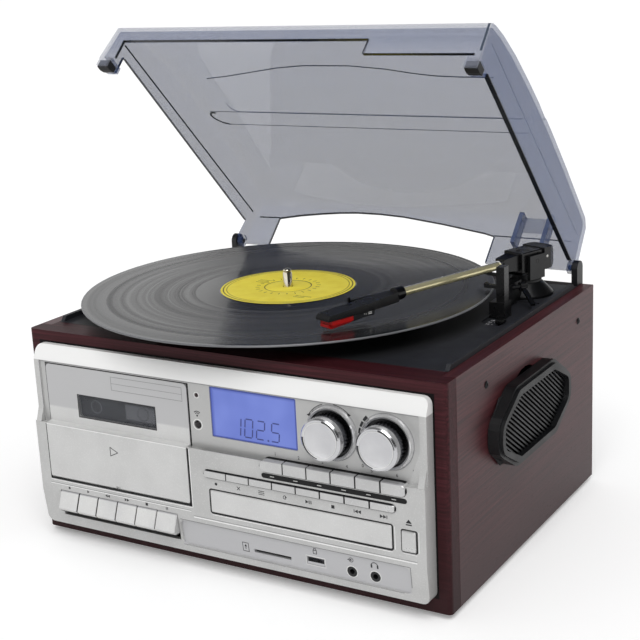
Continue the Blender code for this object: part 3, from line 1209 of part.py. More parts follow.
# Turntable: spindle, platter, record, motor, pulley and belt
def build_turntable():
    centre = (PLATTER_X, PLATTER_Y, 0.0)
    low = DECK_TOP + PLATTER_RISE
    top = low + PLATTER_HEIGHT
    bore = SPINDLE_RADIUS + PIN_GAP
    record_bottom = top + GAP
    record_top = record_bottom + RECORD_THICKNESS
    tip = record_top + SPINDLE_ABOVE_RECORD
    spindle = [
        (0.0, DECK_BOTTOM - GAP - SPINDLE_FLANGE - SPINDLE_BELOW),
        (SPINDLE_RADIUS, DECK_BOTTOM - GAP - SPINDLE_FLANGE - SPINDLE_BELOW),
        (SPINDLE_RADIUS, DECK_BOTTOM - GAP - SPINDLE_FLANGE),
        (SPINDLE_COLLAR_RADIUS, DECK_BOTTOM - GAP - SPINDLE_FLANGE), (SPINDLE_COLLAR_RADIUS, DECK_BOTTOM - GAP),
        (SPINDLE_RADIUS, DECK_BOTTOM - GAP), (SPINDLE_RADIUS, DECK_TOP + GAP),
        (SPINDLE_COLLAR_RADIUS, DECK_TOP + GAP), (SPINDLE_COLLAR_RADIUS, low - GAP),
        (SPINDLE_RADIUS, low - GAP), (SPINDLE_RADIUS, tip - SPINDLE_TIP),
        (SPINDLE_RADIUS * 0.85, tip - SPINDLE_TIP * 0.45), (SPINDLE_RADIUS * 0.5, tip - SPINDLE_TIP * 0.1), (0.0, tip),
    ]
    piece("spindle", turned(spindle, centre, "Z", MEDIUM), STEEL, 0.15, 1.0, smooth=False)

    under = top - PLATTER_TOP_THICKNESS
    ring_inner = DRIVE_RING_RADIUS - PLATTER_RIM
    ring_low = low + DRIVE_RING_LIFT
    rim_inner = PLATTER_RADIUS - PLATTER_RIM
    platter = [
        (bore, low), (HUB_RADIUS, low), (HUB_RADIUS, under), (ring_inner, under), (ring_inner, ring_low),
        (DRIVE_RING_RADIUS, ring_low), (DRIVE_RING_RADIUS, under), (rim_inner, under), (rim_inner, low),
        (PLATTER_RADIUS, low), (PLATTER_RADIUS, top - PLATTER_EDGE), (PLATTER_RADIUS - PLATTER_EDGE, top), (bore, top),
    ]
    axis = pivot("platter_axis", (PLATTER_X, PLATTER_Y, low))
    piece("platter", turned(platter, centre, "Z", FINE), BLACK, 0.4, 0.2, axis)

    waist = record_top - RECORD_WAIST
    belly = record_bottom + RECORD_WAIST
    record = [
        (RECORD_HOLE, record_bottom), (LABEL_RADIUS, record_bottom), (LABEL_RADIUS + RECORD_WAIST, belly),
        (GROOVE_RADIUS, belly), (RECORD_RADIUS - RECORD_WAIST, record_bottom + RECORD_WAIST / 2),
        (RECORD_RADIUS, belly + RECORD_WAIST), (RECORD_RADIUS, waist - RECORD_WAIST),
        (RECORD_RADIUS - RECORD_WAIST, record_top - RECORD_WAIST / 2), (GROOVE_RADIUS, waist),
        (DEAD_WAX_RADIUS, waist), (LABEL_RADIUS + RECORD_WAIST, waist), (LABEL_RADIUS, record_top),
        (RECORD_HOLE, record_top),
    ]
    piece("record", turned(record, centre, "Z", FINE), BLACK, 0.2, 0.0, axis)

    place = motor_place()
    motor_top = DECK_BOTTOM - GAP
    motor = piece("drive_motor", rod(place, "Z", MOTOR_RADIUS, (motor_top - MOTOR_HEIGHT, motor_top), MEDIUM),
                  STEEL, 0.4, 0.8)
    pulley_low = DECK_TOP + PULLEY_LIFT
    shaft_low = pulley_low - PULLEY_SHAFT_LENGTH
    cut(motor, rod(place, "Z", PULLEY_SHAFT + GAP, (shaft_low - GAP, motor_top + PAST), COARSE))
    pulley_high = pulley_low + PULLEY_HEIGHT
    pulley = [
        (0.0, shaft_low), (PULLEY_SHAFT, shaft_low), (PULLEY_SHAFT, pulley_low), (PULLEY_RADIUS, pulley_low),
        (PULLEY_RADIUS, pulley_high), (0.0, pulley_high),
    ]
    pulley_axis = pivot("motor_pulley_axis", (*place, pulley_low))
    piece("motor_pulley", turned(pulley, (*place, 0.0), "Z", MEDIUM), STEEL, 0.3, 0.8, pulley_axis)

    belt_low = DECK_TOP + PLATTER_RISE + BELT_LIFT
    belt = piece("drive_belt", prism(belt_outline(GAP + BELT_THICKNESS), "Z", (belt_low, belt_low + BELT_HEIGHT)),
                 BLACK, 0.8)
    cut(belt, prism(belt_outline(GAP), "Z", (belt_low - PAST, belt_low + BELT_HEIGHT + PAST)))


def belt_outline(offset):
    """The belt's run round the drive ring and the pulley, at an offset from both."""
    large = DRIVE_RING_RADIUS + offset
    small = PULLEY_RADIUS + offset
    contact = math.acos((large - small) / MOTOR_DISTANCE)
    place = motor_place()
    points = []
    for step in range(ROUND + 1):
        angle = MOTOR_ANGLE + contact + (2 * math.pi - 2 * contact) * step / ROUND
        points.append((PLATTER_X + large * math.cos(angle), PLATTER_Y + large * math.sin(angle)))
    for step in range(COARSE + 1):
        angle = MOTOR_ANGLE - contact + 2 * contact * step / COARSE
        points.append((place[0] + small * math.cos(angle), place[1] + small * math.sin(angle)))
    return points


# Tonearm base, lift, rest and switch
def build_arm_base():
    low = DECK_TOP - CONTROL_RECESS_DEPTH + GAP
    seat = DECK_TOP + GAP
    top = DECK_TOP + SKIRT_HEIGHT
    skirt = [
        (0.0, seat), (SKIRT_RADIUS, seat), (SKIRT_RADIUS, seat + SKIRT_EDGE), (SKIRT_TOP_RADIUS, top - SKIRT_EDGE),
        (SKIRT_TOP_RADIUS, top), (0.0, top),
    ]
    base = piece("tonearm_base", turned(skirt, (ARM_X, ARM_Y, 0.0), "Z", MEDIUM), BLACK, 0.45)
    box_top = DECK_TOP + CUE_BOX_HEIGHT
    weld(base, block(CUE_BOX_X, ahead_of_arm(CUE_BOX_AHEAD), (seat, box_top)))
    lever_z = DECK_TOP + LEVER_RISE
    reach = LEVER_HUB_WIDTH / 2 + LEVER_THICKNESS
    pin = rod((0.0, 0.0), "X", LEVER_PIN_RADIUS, (-LEVER_PIN_LENGTH, reach), COARSE)
    turn(pin, LEVER_TURN, "Z")
    weld(base, shift(pin, (LEVER_X, LEVER_Y, lever_z)))
    shaft_top = DECK_TOP + SKIRT_HEIGHT + PAST
    cut(base, rod((ARM_X, ARM_Y), "Z", YOKE_SHAFT_RADIUS + PIN_GAP,
                  (top - YOKE_SHAFT_LENGTH - YOKE_SHAFT_RADIUS, shaft_top), COARSE))
    post = cue_post_place()
    cut(base, rod(post, "Z", CUE_POST_RADIUS + PIN_GAP, (cue_bar_bottom() - CUE_POST_LENGTH - GAP, box_top + PAST),
                  COARSE))

    rest = piece("arm_rest", block(REST_X, ahead_of_arm(REST_AHEAD), (low, low + REST_BASE_HEIGHT)), BLACK, 0.45)
    post_y = ahead_of_arm(REST_POST_AHEAD)
    weld(rest, block(REST_POST_X, post_y, (low + REST_BASE_HEIGHT - WELD_DEPTH, low + REST_POST_HEIGHT)))
    cradle_top = DECK_TOP + ARM_ABOVE_DECK - TUBE_RADIUS - REST_CRADLE_DROP
    middle = (post_y[0] + post_y[1]) / 2
    wide = REST_CRADLE_WIDTH / 2
    left = REST_POST_X[0] - REST_CRADLE_REACH
    weld(rest, block((left, REST_POST_X[0] + WELD_DEPTH), (middle - wide, middle + wide),
                     (cradle_top - REST_CRADLE_THICKNESS, cradle_top)))
    weld(rest, block((left, left + REST_CRADLE_THICKNESS), (middle - wide, middle + wide),
                     (cradle_top - WELD_DEPTH, cradle_top + REST_LIP_HEIGHT)))

    floor = DECK_TOP - CONTROL_RECESS_DEPTH
    holder = pivot("speed_switch_axis", (SWITCH_X, SWITCH_Y, floor))
    long = SWITCH_KNOB_LENGTH / 2
    wide = SWITCH_KNOB_WIDTH / 2
    slider = piece("speed_switch", block((SWITCH_X - wide, SWITCH_X + wide), (SWITCH_Y - long, SWITCH_Y + long),
                                         (floor + GAP, floor + GAP + SWITCH_KNOB_HEIGHT)), BLACK, 0.4, 0.0, holder)
    soften(slider, BUTTON_EDGE)
    stem = SWITCH_STEM_LENGTH / 2
    thin = SWITCH_SLOT_WIDTH / 2 - GAP
    weld(slider, block((SWITCH_X - thin, SWITCH_X + thin), (SWITCH_Y - stem, SWITCH_Y + stem),
                       (floor - SWITCH_STEM_DEPTH, floor + GAP + WELD_DEPTH)))


def cue_post_place():
    return (ARM_X + CUE_RADIUS * math.sin(CUE_POST_ANGLE), ARM_Y - CUE_RADIUS * math.cos(CUE_POST_ANGLE))


def cue_bar_bottom():
    return DECK_TOP + ARM_ABOVE_DECK - TUBE_RADIUS - CUE_BAR_GAP - CUE_BAR_THICKNESS


def build_cue_lift():
    low = cue_bar_bottom()
    inner = CUE_RADIUS - CUE_BAR_WIDTH / 2
    outer = CUE_RADIUS + CUE_BAR_WIDTH / 2
    outline = []
    for radius, order in ((inner, range(CUE_BAR_STEPS + 1)), (outer, range(CUE_BAR_STEPS, -1, -1))):
        for step in order:
            angle = CUE_BAR_SPAN[0] + (CUE_BAR_SPAN[1] - CUE_BAR_SPAN[0]) * step / CUE_BAR_STEPS
            outline.append((ARM_X + radius * math.sin(angle), ARM_Y - radius * math.cos(angle)))
    place = cue_post_place()
    holder = pivot("cue_platform_axis", (*place, low))
    bar = piece("cue_platform", prism(outline, "Z", (low, low + CUE_BAR_THICKNESS)), BLACK, 0.5, 0.0, holder)
    weld(bar, rod(place, "Z", CUE_POST_RADIUS, (low - CUE_POST_LENGTH, low + WELD_DEPTH), COARSE))

    lever_z = DECK_TOP + LEVER_RISE
    axle = pivot("cue_lever_axis", (LEVER_X, LEVER_Y, lever_z), LEVER_TURN)
    half = LEVER_HUB_WIDTH / 2
    lever = piece("cue_lever", rod((0.0, 0.0), "X", LEVER_HUB_RADIUS, (-half, half), COARSE), BLACK, 0.4, 0.0,
                  axle, True)
    wide = LEVER_WIDTH / 2
    handle = block((-wide, wide), (-LEVER_LENGTH, -LEVER_PIN_RADIUS - LEVER_THICKNESS / 2),
                   (-LEVER_THICKNESS / 2, LEVER_THICKNESS / 2))
    weld(lever, turn(handle, LEVER_DROP, "X"))
    cut(lever, rod((0.0, 0.0), "X", LEVER_PIN_RADIUS + PIN_GAP, (-half - PAST, half + PAST), COARSE))


# Tonearm: swinging yoke, tilting block, tube, headshell and cartridge
def along(start, end):
    """Limits along the arm as limits along Y."""
    return (-end, -start)


def build_arm():
    height = DECK_TOP + ARM_ABOVE_DECK
    axis = pivot("tonearm_axis", (ARM_X, ARM_Y, height), ARM_ANGLE)
    top = DECK_TOP + SKIRT_HEIGHT + GAP - height
    disc = [
        (0.0, top - YOKE_SHAFT_LENGTH), (YOKE_SHAFT_RADIUS, top - YOKE_SHAFT_LENGTH), (YOKE_SHAFT_RADIUS, top),
        (YOKE_RADIUS, top), (YOKE_RADIUS, top + YOKE_DISC), (0.0, top + YOKE_DISC),
    ]
    yoke = piece("tonearm_yoke", turned(disc, (0.0, 0.0, 0.0), "Z", MEDIUM), BLACK, 0.45, 0.0, axis, True)
    for side in (-1, 1):
        weld(yoke, block(across(side, CHEEK_INNER, CHEEK_OUTER), (-CHEEK_HALF_LENGTH, CHEEK_HALF_LENGTH),
                         (top + WELD_DEPTH, CHEEK_ABOVE)))
    cut(yoke, rod((0.0, 0.0), "X", TILT_PIN_RADIUS + PIN_GAP, (-CHEEK_OUTER - PAST, CHEEK_OUTER + PAST), COARSE))

    body = piece("tonearm_block", block((-BLOCK_HALF_WIDTH, BLOCK_HALF_WIDTH), along(-BLOCK_BACK, BLOCK_FRONT),
                                        (-BLOCK_BELOW, BLOCK_ABOVE)), BLACK, 0.45, 0.0, axis, True)
    soften(body, BUTTON_EDGE)
    low = -BLOCK_BELOW - BUTTON_EDGE
    high = BLOCK_ABOVE + BUTTON_EDGE
    weight = [
        (WEIGHT_FRONT, low), (WEIGHT_BACK - WEIGHT_CHAMFER, low), (WEIGHT_BACK, low + WEIGHT_CHAMFER),
        (WEIGHT_BACK, high - WEIGHT_CHAMFER), (WEIGHT_BACK - WEIGHT_CHAMFER, high), (WEIGHT_FRONT, high),
    ]
    plan = [
        (-WEIGHT_HALF_WIDTH, WEIGHT_FRONT - PAST), (WEIGHT_HALF_WIDTH, WEIGHT_FRONT - PAST),
        (WEIGHT_HALF_WIDTH, WEIGHT_CORNER), (WEIGHT_TAIL_HALF_WIDTH, WEIGHT_BACK + PAST),
        (-WEIGHT_TAIL_HALF_WIDTH, WEIGHT_BACK + PAST), (-WEIGHT_HALF_WIDTH, WEIGHT_CORNER),
    ]
    tail = weld(body, prism(weight, "X", (-WEIGHT_HALF_WIDTH - PAST, WEIGHT_HALF_WIDTH + PAST)))
    combine(tail, prism(plan, "Z", (low - PAST, high + PAST)), "INTERSECT")
    nose = block((-NOSE_HALF_WIDTH, NOSE_HALF_WIDTH), along(BLOCK_FRONT - WELD_DEPTH, NOSE_END),
                 (-NOSE_HALF_WIDTH, NOSE_HALF_WIDTH))
    for vert in nose.verts:
        if vert.co.y < -BLOCK_FRONT:
            vert.co.x *= NOSE_END_RADIUS / NOSE_HALF_WIDTH
            vert.co.z *= NOSE_END_RADIUS / NOSE_HALF_WIDTH
    weld(body, nose)
    weld(body, rod((0.0, 0.0), "X", TILT_PIN_RADIUS, (-CHEEK_OUTER, CHEEK_OUTER), COARSE))
    cut(body, rod((0.0, 0.0), "Y", TUBE_RADIUS + PIN_GAP, along(TUBE_START - GAP, NOSE_END + PAST), COARSE))

    piece("tonearm_tube", rod((0.0, 0.0), "Y", TUBE_RADIUS, along(TUBE_START, TUBE_END), MEDIUM), STEEL, 0.1, 1.0,
          axis, True)
    build_headshell(axis)
    build_cartridge(axis)


def build_headshell(axis):
    shell = piece("headshell", rod((0.0, 0.0), "Y", SHELL_COLLAR_RADIUS, along(SHELL_COLLAR_START, SHELL_START),
                                   COARSE), BLACK, 0.35, 0.0, axis, True)
    neck = SHELL_START + (SHELL_END - SHELL_START) * 0.3
    plan = [
        (-SHELL_NECK_HALF_WIDTH, -SHELL_START + WELD_DEPTH), (-SHELL_HALF_WIDTH, -neck), (-SHELL_HALF_WIDTH, -SHELL_END),
        (SHELL_HALF_WIDTH, -SHELL_END), (SHELL_HALF_WIDTH, -neck), (SHELL_NECK_HALF_WIDTH, -SHELL_START + WELD_DEPTH),
    ]
    side = [
        (-SHELL_START + WELD_DEPTH, SHELL_BOTTOM), (-SHELL_END, SHELL_BOTTOM), (-SHELL_END, SHELL_NOSE_TOP - SHELL_NOSE_DROP),
        (-SHELL_END + SHELL_NOSE_DROP, SHELL_NOSE_TOP), (-SHELL_START + WELD_DEPTH, SHELL_TOP),
    ]
    shape = weld(shell, prism(plan, "Z", (SHELL_BOTTOM - PAST, SHELL_TOP + PAST)))
    combine(shape, prism(side, "X", (-LIFT_OUT, LIFT_OUT)), "INTERSECT")
    low = -LIFT_THICKNESS
    weld(shell, block((-LIFT_OUT, -SHELL_NECK_HALF_WIDTH + WELD_DEPTH * 3), along(LIFT_START, LIFT_START + LIFT_WIDTH * 3),
                      (low, 0.0)))
    weld(shell, block((-LIFT_OUT, -LIFT_OUT + LIFT_WIDTH), along(LIFT_START, LIFT_END), (low, 0.0)))
    weld(shell, block((-LIFT_OUT, -LIFT_OUT + LIFT_WIDTH), along(LIFT_END - LIFT_WIDTH, LIFT_END), (low, LIFT_TIP)))
    cut(shell, rod((0.0, 0.0), "Y", TUBE_RADIUS + PIN_GAP, along(SHELL_COLLAR_START - PAST, TUBE_END + GAP), COARSE))


def build_cartridge(axis):
    top = SHELL_BOTTOM - GAP
    bottom = top - CARTRIDGE_DEPTH
    body = piece("cartridge", block((-CARTRIDGE_HALF_WIDTH, CARTRIDGE_HALF_WIDTH),
                                    along(CARTRIDGE_START, CARTRIDGE_END), (bottom, top)), BLACK, 0.4, 0.0, axis, True)
    holder = [
        (-HOLDER_START, bottom + WELD_DEPTH), (-HOLDER_START, bottom - HOLDER_DEPTH / 3),
        (-ARM_LENGTH, bottom - HOLDER_DEPTH), (-HOLDER_END, bottom - HOLDER_DEPTH / 2), (-HOLDER_END, bottom + WELD_DEPTH),
    ]
    weld(body, prism(holder, "X", (-HOLDER_HALF_WIDTH, HOLDER_HALF_WIDTH)))
    surface = DECK_TOP + PLATTER_RISE + PLATTER_HEIGHT + GAP + RECORD_THICKNESS - RECORD_WAIST
    tip = surface + STYLUS_GAP - (DECK_TOP + ARM_ABOVE_DECK)
    needle = [(0.0, tip), (NEEDLE_RADIUS / 2, tip), (NEEDLE_RADIUS, bottom), (0.0, bottom)]
    weld(body, turned(needle, (0.0, -ARM_LENGTH, 0.0), "Z", CORNER_STEPS * 2))


# Dust cover and its hinge brackets
def lid_curve(inset=0.0):
    """Side view of the cover from the front rim over the top to the tail: (u, v)."""
    low = 0.0 if inset == 0 else -PAST
    points = [(LID_LENGTH - inset, low)]
    for number, (u_share, v_share) in enumerate(LID_TOP_SHARES):
        u = LID_LENGTH * u_share
        v = LID_HEIGHT * v_share - inset
        points.append((u - inset if number < 2 else u, v))
    points.append((-LID_TAIL + inset, LID_HEIGHT * LID_TOP_SHARES[-1][1] - LID_TAIL_DROP))
    points.append((-LID_TAIL + inset, low))
    return points


def lid_shape(outline, half_width):
    """A (u, v) outline across the cover, drawn in towards the top by the taper."""
    flat = [(-u, RIM_ABOVE_HINGE + v) for u, v in outline]
    shape = prism(flat, "X", (-half_width, half_width))
    for vert in shape.verts:
        vert.co.x *= 1 - LID_TAPER * (vert.co.z - RIM_ABOVE_HINGE) / half_width
    return shape


def build_lid():
    hinge = (0.0, HINGE_Y, TOP_Z + HINGE_ABOVE_TOP)
    holder = pivot("lid_hinge_axis", hinge, -LID_OPEN, "X")
    lid = piece("lid", lid_shape(lid_curve(), LID_HALF_WIDTH), SMOKE, 0.08, 0.0, holder, True)
    cut(lid, lid_shape(lid_curve(LID_WALL), LID_HALF_WIDTH - LID_WALL))
    cut_lid_notches(lid)
    add_lid_fittings(lid)
    for side, name in ((-1, "left"), (1, "right")):
        build_bracket(side, name, hinge)


def cut_lid_notches(lid):
    """Notches that let the record stand out past the closed cover, and the arch in its back wall."""
    rim = RIM_ABOVE_HINGE
    front = (-LID_LENGTH - PAST, -LID_LENGTH + LID_WALL + PAST)
    cut(lid, block(FRONT_NOTCH_X, front, (rim - PAST, rim + LID_NOTCH)))
    step = (FRONT_NOTCH_X[1] - WELD_DEPTH, LID_HALF_WIDTH - BUMPER_WIDTH / 2)
    cut(lid, block(step, front, (rim - PAST, rim + LID_STEP)))
    cut(lid, block((-LID_HALF_WIDTH - PAST, -LID_HALF_WIDTH + LID_WALL + PAST),
                   (SIDE_NOTCH_SHORT - LID_LENGTH, -SIDE_NOTCH_START), (rim - PAST, rim + LID_NOTCH)))
    wide = ARCH_X[1] - ARCH_X[0]
    arch = [(ARCH_X[0] + wide * x_share, rim + ARCH_CROWN * v_share) for x_share, v_share in ARCH_SHARES]
    arch += [(ARCH_X[1], rim - PAST), (ARCH_X[0], rim - PAST)]
    cut(lid, prism(arch, "Y", (LID_TAIL - LID_WALL - PAST, LID_TAIL + PAST)))
    groove = rounded((GROOVE_X, LID_HALF_WIDTH + PAST), (-GROOVE_U[1], -GROOVE_U[0]), (GROOVE_U[1] - GROOVE_U[0]) / 2.1)
    top = rim + LID_HEIGHT
    cut(lid, prism(groove, "Z", (top - GROOVE_DEPTH, top + PAST)))


def add_lid_fittings(lid):
    """Bumpers at the front corners, hinge ears at the back ones and the fork inside the back wall."""
    rim = RIM_ABOVE_HINGE
    for side in (-1, 1):
        foot = [
            (-LID_LENGTH + GAP, rim + LID_WALL), (-LID_LENGTH + GAP, rim - BUMPER_DROP),
            (-LID_LENGTH + BUMPER_SHORT, rim - BUMPER_DROP), (-LID_LENGTH + BUMPER_LENGTH, rim - BUMPER_DROP / 2),
            (-LID_LENGTH + BUMPER_LENGTH, rim + LID_WALL),
        ]
        weld(lid, prism(foot, "X", across(side, LID_HALF_WIDTH - BUMPER_WIDTH, LID_HALF_WIDTH - GAP)))
        ear = across(side, LID_HALF_WIDTH - EAR_LENGTH, LID_HALF_WIDTH - 2 * GAP)
        weld(lid, rod((0.0, 0.0), "X", HINGE_PIN_RADIUS + HINGE_PIN_REACH, ear, COARSE))
    back = LID_TAIL - LID_WALL
    tall = (rim + FORK_V[0], rim + FORK_V[1])
    for x in (FORK_X[0], FORK_X[1] - FORK_RIB):
        weld(lid, block((x, x + FORK_RIB), (back - FORK_DEPTH, back + WELD_DEPTH), tall))
    weld(lid, block((FORK_X[0] + WELD_DEPTH, FORK_X[1] - WELD_DEPTH), (back - FORK_WEB, back + LID_WALL / 2),
                    (tall[0] + WELD_DEPTH, tall[1] - WELD_DEPTH)))
    for side in (-1, 1):
        through = across(side, LID_HALF_WIDTH - EAR_LENGTH - PAST, LID_HALF_WIDTH + PAST)
        cut(lid, rod((0.0, 0.0), "X", HINGE_PIN_RADIUS + PIN_GAP, through, MEDIUM))


def build_bracket(side, name, hinge):
    inner = LID_HALF_WIDTH + GAP
    x = across(side, inner, inner + BRACKET_THICKNESS)
    outline = [
        (BRACKET_RADIUS * math.cos(math.pi * step / COARSE), BRACKET_RADIUS * math.sin(math.pi * step / COARSE))
        for step in range(COARSE + 1)
    ]
    outline = [(hinge[1] + a, hinge[2] + b) for a, b in outline]
    outline += [(hinge[1] - BRACKET_RADIUS, TOP_Z + GAP), (CABINET_DEPTH + GAP, TOP_Z + GAP),
                (CABINET_DEPTH + GAP, TOP_Z - BRACKET_TAIL), (hinge[1] + BRACKET_RADIUS, TOP_Z - BRACKET_TAIL)]
    bracket = piece("hinge_bracket_" + name, prism(outline, "X", x), BLACK, 0.45)
    reach = across(side, LID_HALF_WIDTH - EAR_LENGTH, inner + WELD_DEPTH)
    weld(bracket, rod((hinge[1], hinge[2]), "X", HINGE_PIN_RADIUS, reach, COARSE))


def centre_origin():
    """Moves everything so that the origin lies under the middle of the whole object."""
    bpy.context.view_layer.update()
    graph = bpy.context.evaluated_depsgraph_get()
    lows = [math.inf, math.inf]
    highs = [-math.inf, -math.inf]
    for obj in parts.objects:
        if obj.type != "MESH":
            continue
        solid = obj.evaluated_get(graph)
        for vert in solid.data.vertices:
            place = solid.matrix_world @ vert.co
            for axis in range(2):
                lows[axis] = min(lows[axis], place[axis])
                highs[axis] = max(highs[axis], place[axis])
    origin.location = (-(lows[0] + highs[0]) / 2, -(lows[1] + highs[1]) / 2, 0.0)
    bpy.context.view_layer.update()


build_cabinet()
build_deck()
build_panel()
build_cassette_door()
build_cassette_mechanism()
build_keys()
build_display()
build_knobs()
build_buttons()
build_cd_drive()
build_board()
for speaker_side, speaker_name in ((-1, "left"), (1, "right")):
    build_speaker(speaker_side, speaker_name)
build_turntable()
build_arm_base()
build_cue_lift()
build_arm()
build_lid()
centre_origin()
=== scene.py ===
# %% [markdown]
# # Dressing a box record player
# The model comes in as a fixed frame of solid pieces that move on joints. This lesson gives each of them the
# finish of the real thing, adds the prints and trims that are too thin for solids, and sets up light and camera.

# %% Load the frame
import math
import bpy
import bmesh
from mathutils import Matrix, Vector


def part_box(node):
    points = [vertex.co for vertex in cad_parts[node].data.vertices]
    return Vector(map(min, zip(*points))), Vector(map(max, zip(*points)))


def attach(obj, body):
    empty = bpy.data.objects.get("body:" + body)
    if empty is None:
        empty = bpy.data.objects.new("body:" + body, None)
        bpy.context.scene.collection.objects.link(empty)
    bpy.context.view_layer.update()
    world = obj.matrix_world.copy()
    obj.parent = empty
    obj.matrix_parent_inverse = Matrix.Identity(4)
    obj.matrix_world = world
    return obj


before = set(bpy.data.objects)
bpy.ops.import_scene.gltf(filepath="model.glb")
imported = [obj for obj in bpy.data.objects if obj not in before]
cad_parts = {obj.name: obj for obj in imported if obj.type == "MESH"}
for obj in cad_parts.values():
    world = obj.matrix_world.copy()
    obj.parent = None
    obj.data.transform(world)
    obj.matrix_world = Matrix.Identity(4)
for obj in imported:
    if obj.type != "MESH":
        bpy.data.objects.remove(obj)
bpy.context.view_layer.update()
scene = bpy.context.scene

# %% [markdown]
# The camera stands where the photographer stood: to the right of the front, a little above, with a long lens. Its place
# comes from the cabinet's corners and the rim of the record. A slight roll of the horizon is part of the picture.

# %% The camera
CAMERA_PLACE = Vector((0.4996, -0.8149, 0.4123))
AROUND, ABOVE, ROLL = math.radians(31.46), math.radians(15.60), math.radians(-2.82)
LENS_MM = 75.9

ahead = Vector((-math.sin(AROUND) * math.cos(ABOVE), math.cos(AROUND) * math.cos(ABOVE), -math.sin(ABOVE)))
right = ahead.cross(Vector((0.0, 0.0, 1.0))).normalized()
upward = right.cross(ahead)
turned_right = math.cos(ROLL) * right + math.sin(ROLL) * upward
turned_up = math.cos(ROLL) * upward - math.sin(ROLL) * right
camera_data = bpy.data.cameras.new("camera")
camera_data.lens = LENS_MM
camera_data.sensor_width = 36.0
camera_data.clip_start = 0.01
camera = bpy.data.objects.new("camera", camera_data)
scene.collection.objects.link(camera)
camera.matrix_world = Matrix.Translation(CAMERA_PLACE) @ Matrix((turned_right, turned_up, -ahead)).transposed().to_4x4()
scene.camera = camera
print("camera distance:", round(CAMERA_PLACE.length, 3))

# %% [markdown]
# Every finish is built from the same small parts: a colour written as on a paint chart, a node with its settings, and a
# shader with its output. The colour function turns the chart's values into the linear numbers that light adds up in.
# The other helpers each add one kind of node to the tree of the socket that they are given.

# %% Colours, nodes and finishes
def colour(code):
    """A hex colour from a paint chart as linear red, green, blue and a full alpha."""
    parts = [int(code[start:start + 2], 16) / 255 for start in (0, 2, 4)]
    return [part / 12.92 if part <= 0.04045 else ((part + 0.055) / 1.055) ** 2.4 for part in parts] + [1.0]


def node(tree, kind, inputs=None, stops=None, **settings):
    """Adds a node with its settings; an input is a value or the socket that feeds it; stops are a ramp's colours."""
    new = tree.nodes.new("ShaderNode" + kind)
    for name, value in settings.items():
        setattr(new, name, value)
    for name, value in (inputs or {}).items():
        if isinstance(value, bpy.types.NodeSocket):
            tree.links.new(value, new.inputs[name])
        else:
            new.inputs[name].default_value = value
    for number, (place, code) in enumerate(stops or []):
        stop = new.color_ramp.elements[number] if number < 2 else new.color_ramp.elements.new(place)
        stop.position = place
        stop.color = colour(code)
    return new


def calc(operation, *values, kind="Math", out=0):
    """One step of arithmetic on numbers; at least one of the values is a socket."""
    tree = next(value.id_data for value in values if isinstance(value, bpy.types.NodeSocket))
    return node(tree, kind, dict(enumerate(values)), operation=operation).outputs[out]


def vector(operation, *values, out="Vector"):
    """One step of arithmetic on vectors; a length or a dot product leaves by the output called Value."""
    return calc(operation, *values, kind="VectorMath", out=out)


def fade(value, low, high, to_low=0.0, to_high=1.0):
    """Carries a value from one range to another and stops at both ends."""
    ranges = {"From Min": low, "From Max": high, "To Min": to_low, "To Max": to_high}
    return node(value.id_data, "MapRange", {"Value": value, **ranges}).outputs[0]


def noise(place, size, detail, **more):
    """Soft random spots of a size in metres."""
    return node(place.id_data, "TexNoise", {"Vector": place, "Scale": 1 / size, "Detail": detail, **more}).outputs[0]


def ramp(value, *stops):
    """Colours along a value."""
    return node(value.id_data, "ValToRGB", {"Fac": value}, stops).outputs[0]


def bump(height, depth, strength=1.0):
    """A relief of a depth in metres."""
    return node(height.id_data, "Bump", {"Height": height, "Distance": depth, "Strength": strength}).outputs[0]


def feed(shader, **sockets):
    """Links sockets to the shader's inputs by name, with an underscore for each space."""
    for name, socket in sockets.items():
        shader.id_data.links.new(socket, shader.inputs[name.replace("_", " ")])


def finish(name, **constants):
    """An empty finish: the material, its shader and the point on the object that is being shaded."""
    made = bpy.data.materials.new(name)
    made.use_nodes = True
    tree = made.node_tree
    tree.nodes.clear()
    shader = node(tree, "BsdfPrincipled", {key.replace("_", " "): value for key, value in constants.items()})
    node(tree, "OutputMaterial", {"Surface": shader.outputs[0]})
    return made, shader, node(tree, "TexCoord").outputs["Object"]


def skin(name, pale, dark, grain, depth, rough, spread=0.05, clouds=0.02, **constants):
    """Paint, plastic or metal: two close colours in soft clouds, a fine grain of a real depth, a gloss that varies."""
    made, shader, point = finish(name, **constants)
    cloud = noise(point, clouds, 3.0)
    feed(shader, Base_Color=ramp(cloud, (0.3, dark), (0.7, pale)),
         Roughness=fade(cloud, 0.3, 0.7, rough + spread, rough - spread), Normal=bump(noise(point, grain, 2.0), depth))
    return made, shader, point


def cover(shader, mask, code, rough=None, metal=None):
    """Lays another colour, gloss or metal over a finish where the mask is 1."""
    tree = shader.id_data
    for name, value in (("Base Color", code), ("Roughness", rough), ("Metallic", metal)):
        if value is None:
            continue
        socket = shader.inputs[name]
        below = socket.links[0].from_socket if socket.is_linked else socket.default_value
        if name == "Base Color":
            mix = node(tree, "Mix", {0: mask, 6: below, 7: colour(value)}, data_type="RGBA").outputs[2]
        else:
            mix = node(tree, "Mix", {0: mask, 2: below, 3: value}).outputs[0]
        tree.links.new(mix, socket)


def within(point, soft=0.0002, **limits):
    """A mask that is 1 between the limits (x=, y= or z=, in metres) and fades over a short way."""
    split = node(point.id_data, "SeparateXYZ", {0: point}).outputs
    nearest = 1.0
    for axis, (low, high) in limits.items():
        part = split["xyz".index(axis)]
        for first, second in ((part, low), (high, part)):
            nearest = calc("MINIMUM", nearest, calc("SUBTRACT", first, second))
    return fade(nearest, -soft, soft)


def radius_from(point, centre, flat):
    """How far a point is from an axis through the centre; flat is 0 along the axis and 1 across it."""
    return vector("LENGTH", vector("MULTIPLY", vector("SUBTRACT", point, centre), flat), out="Value")


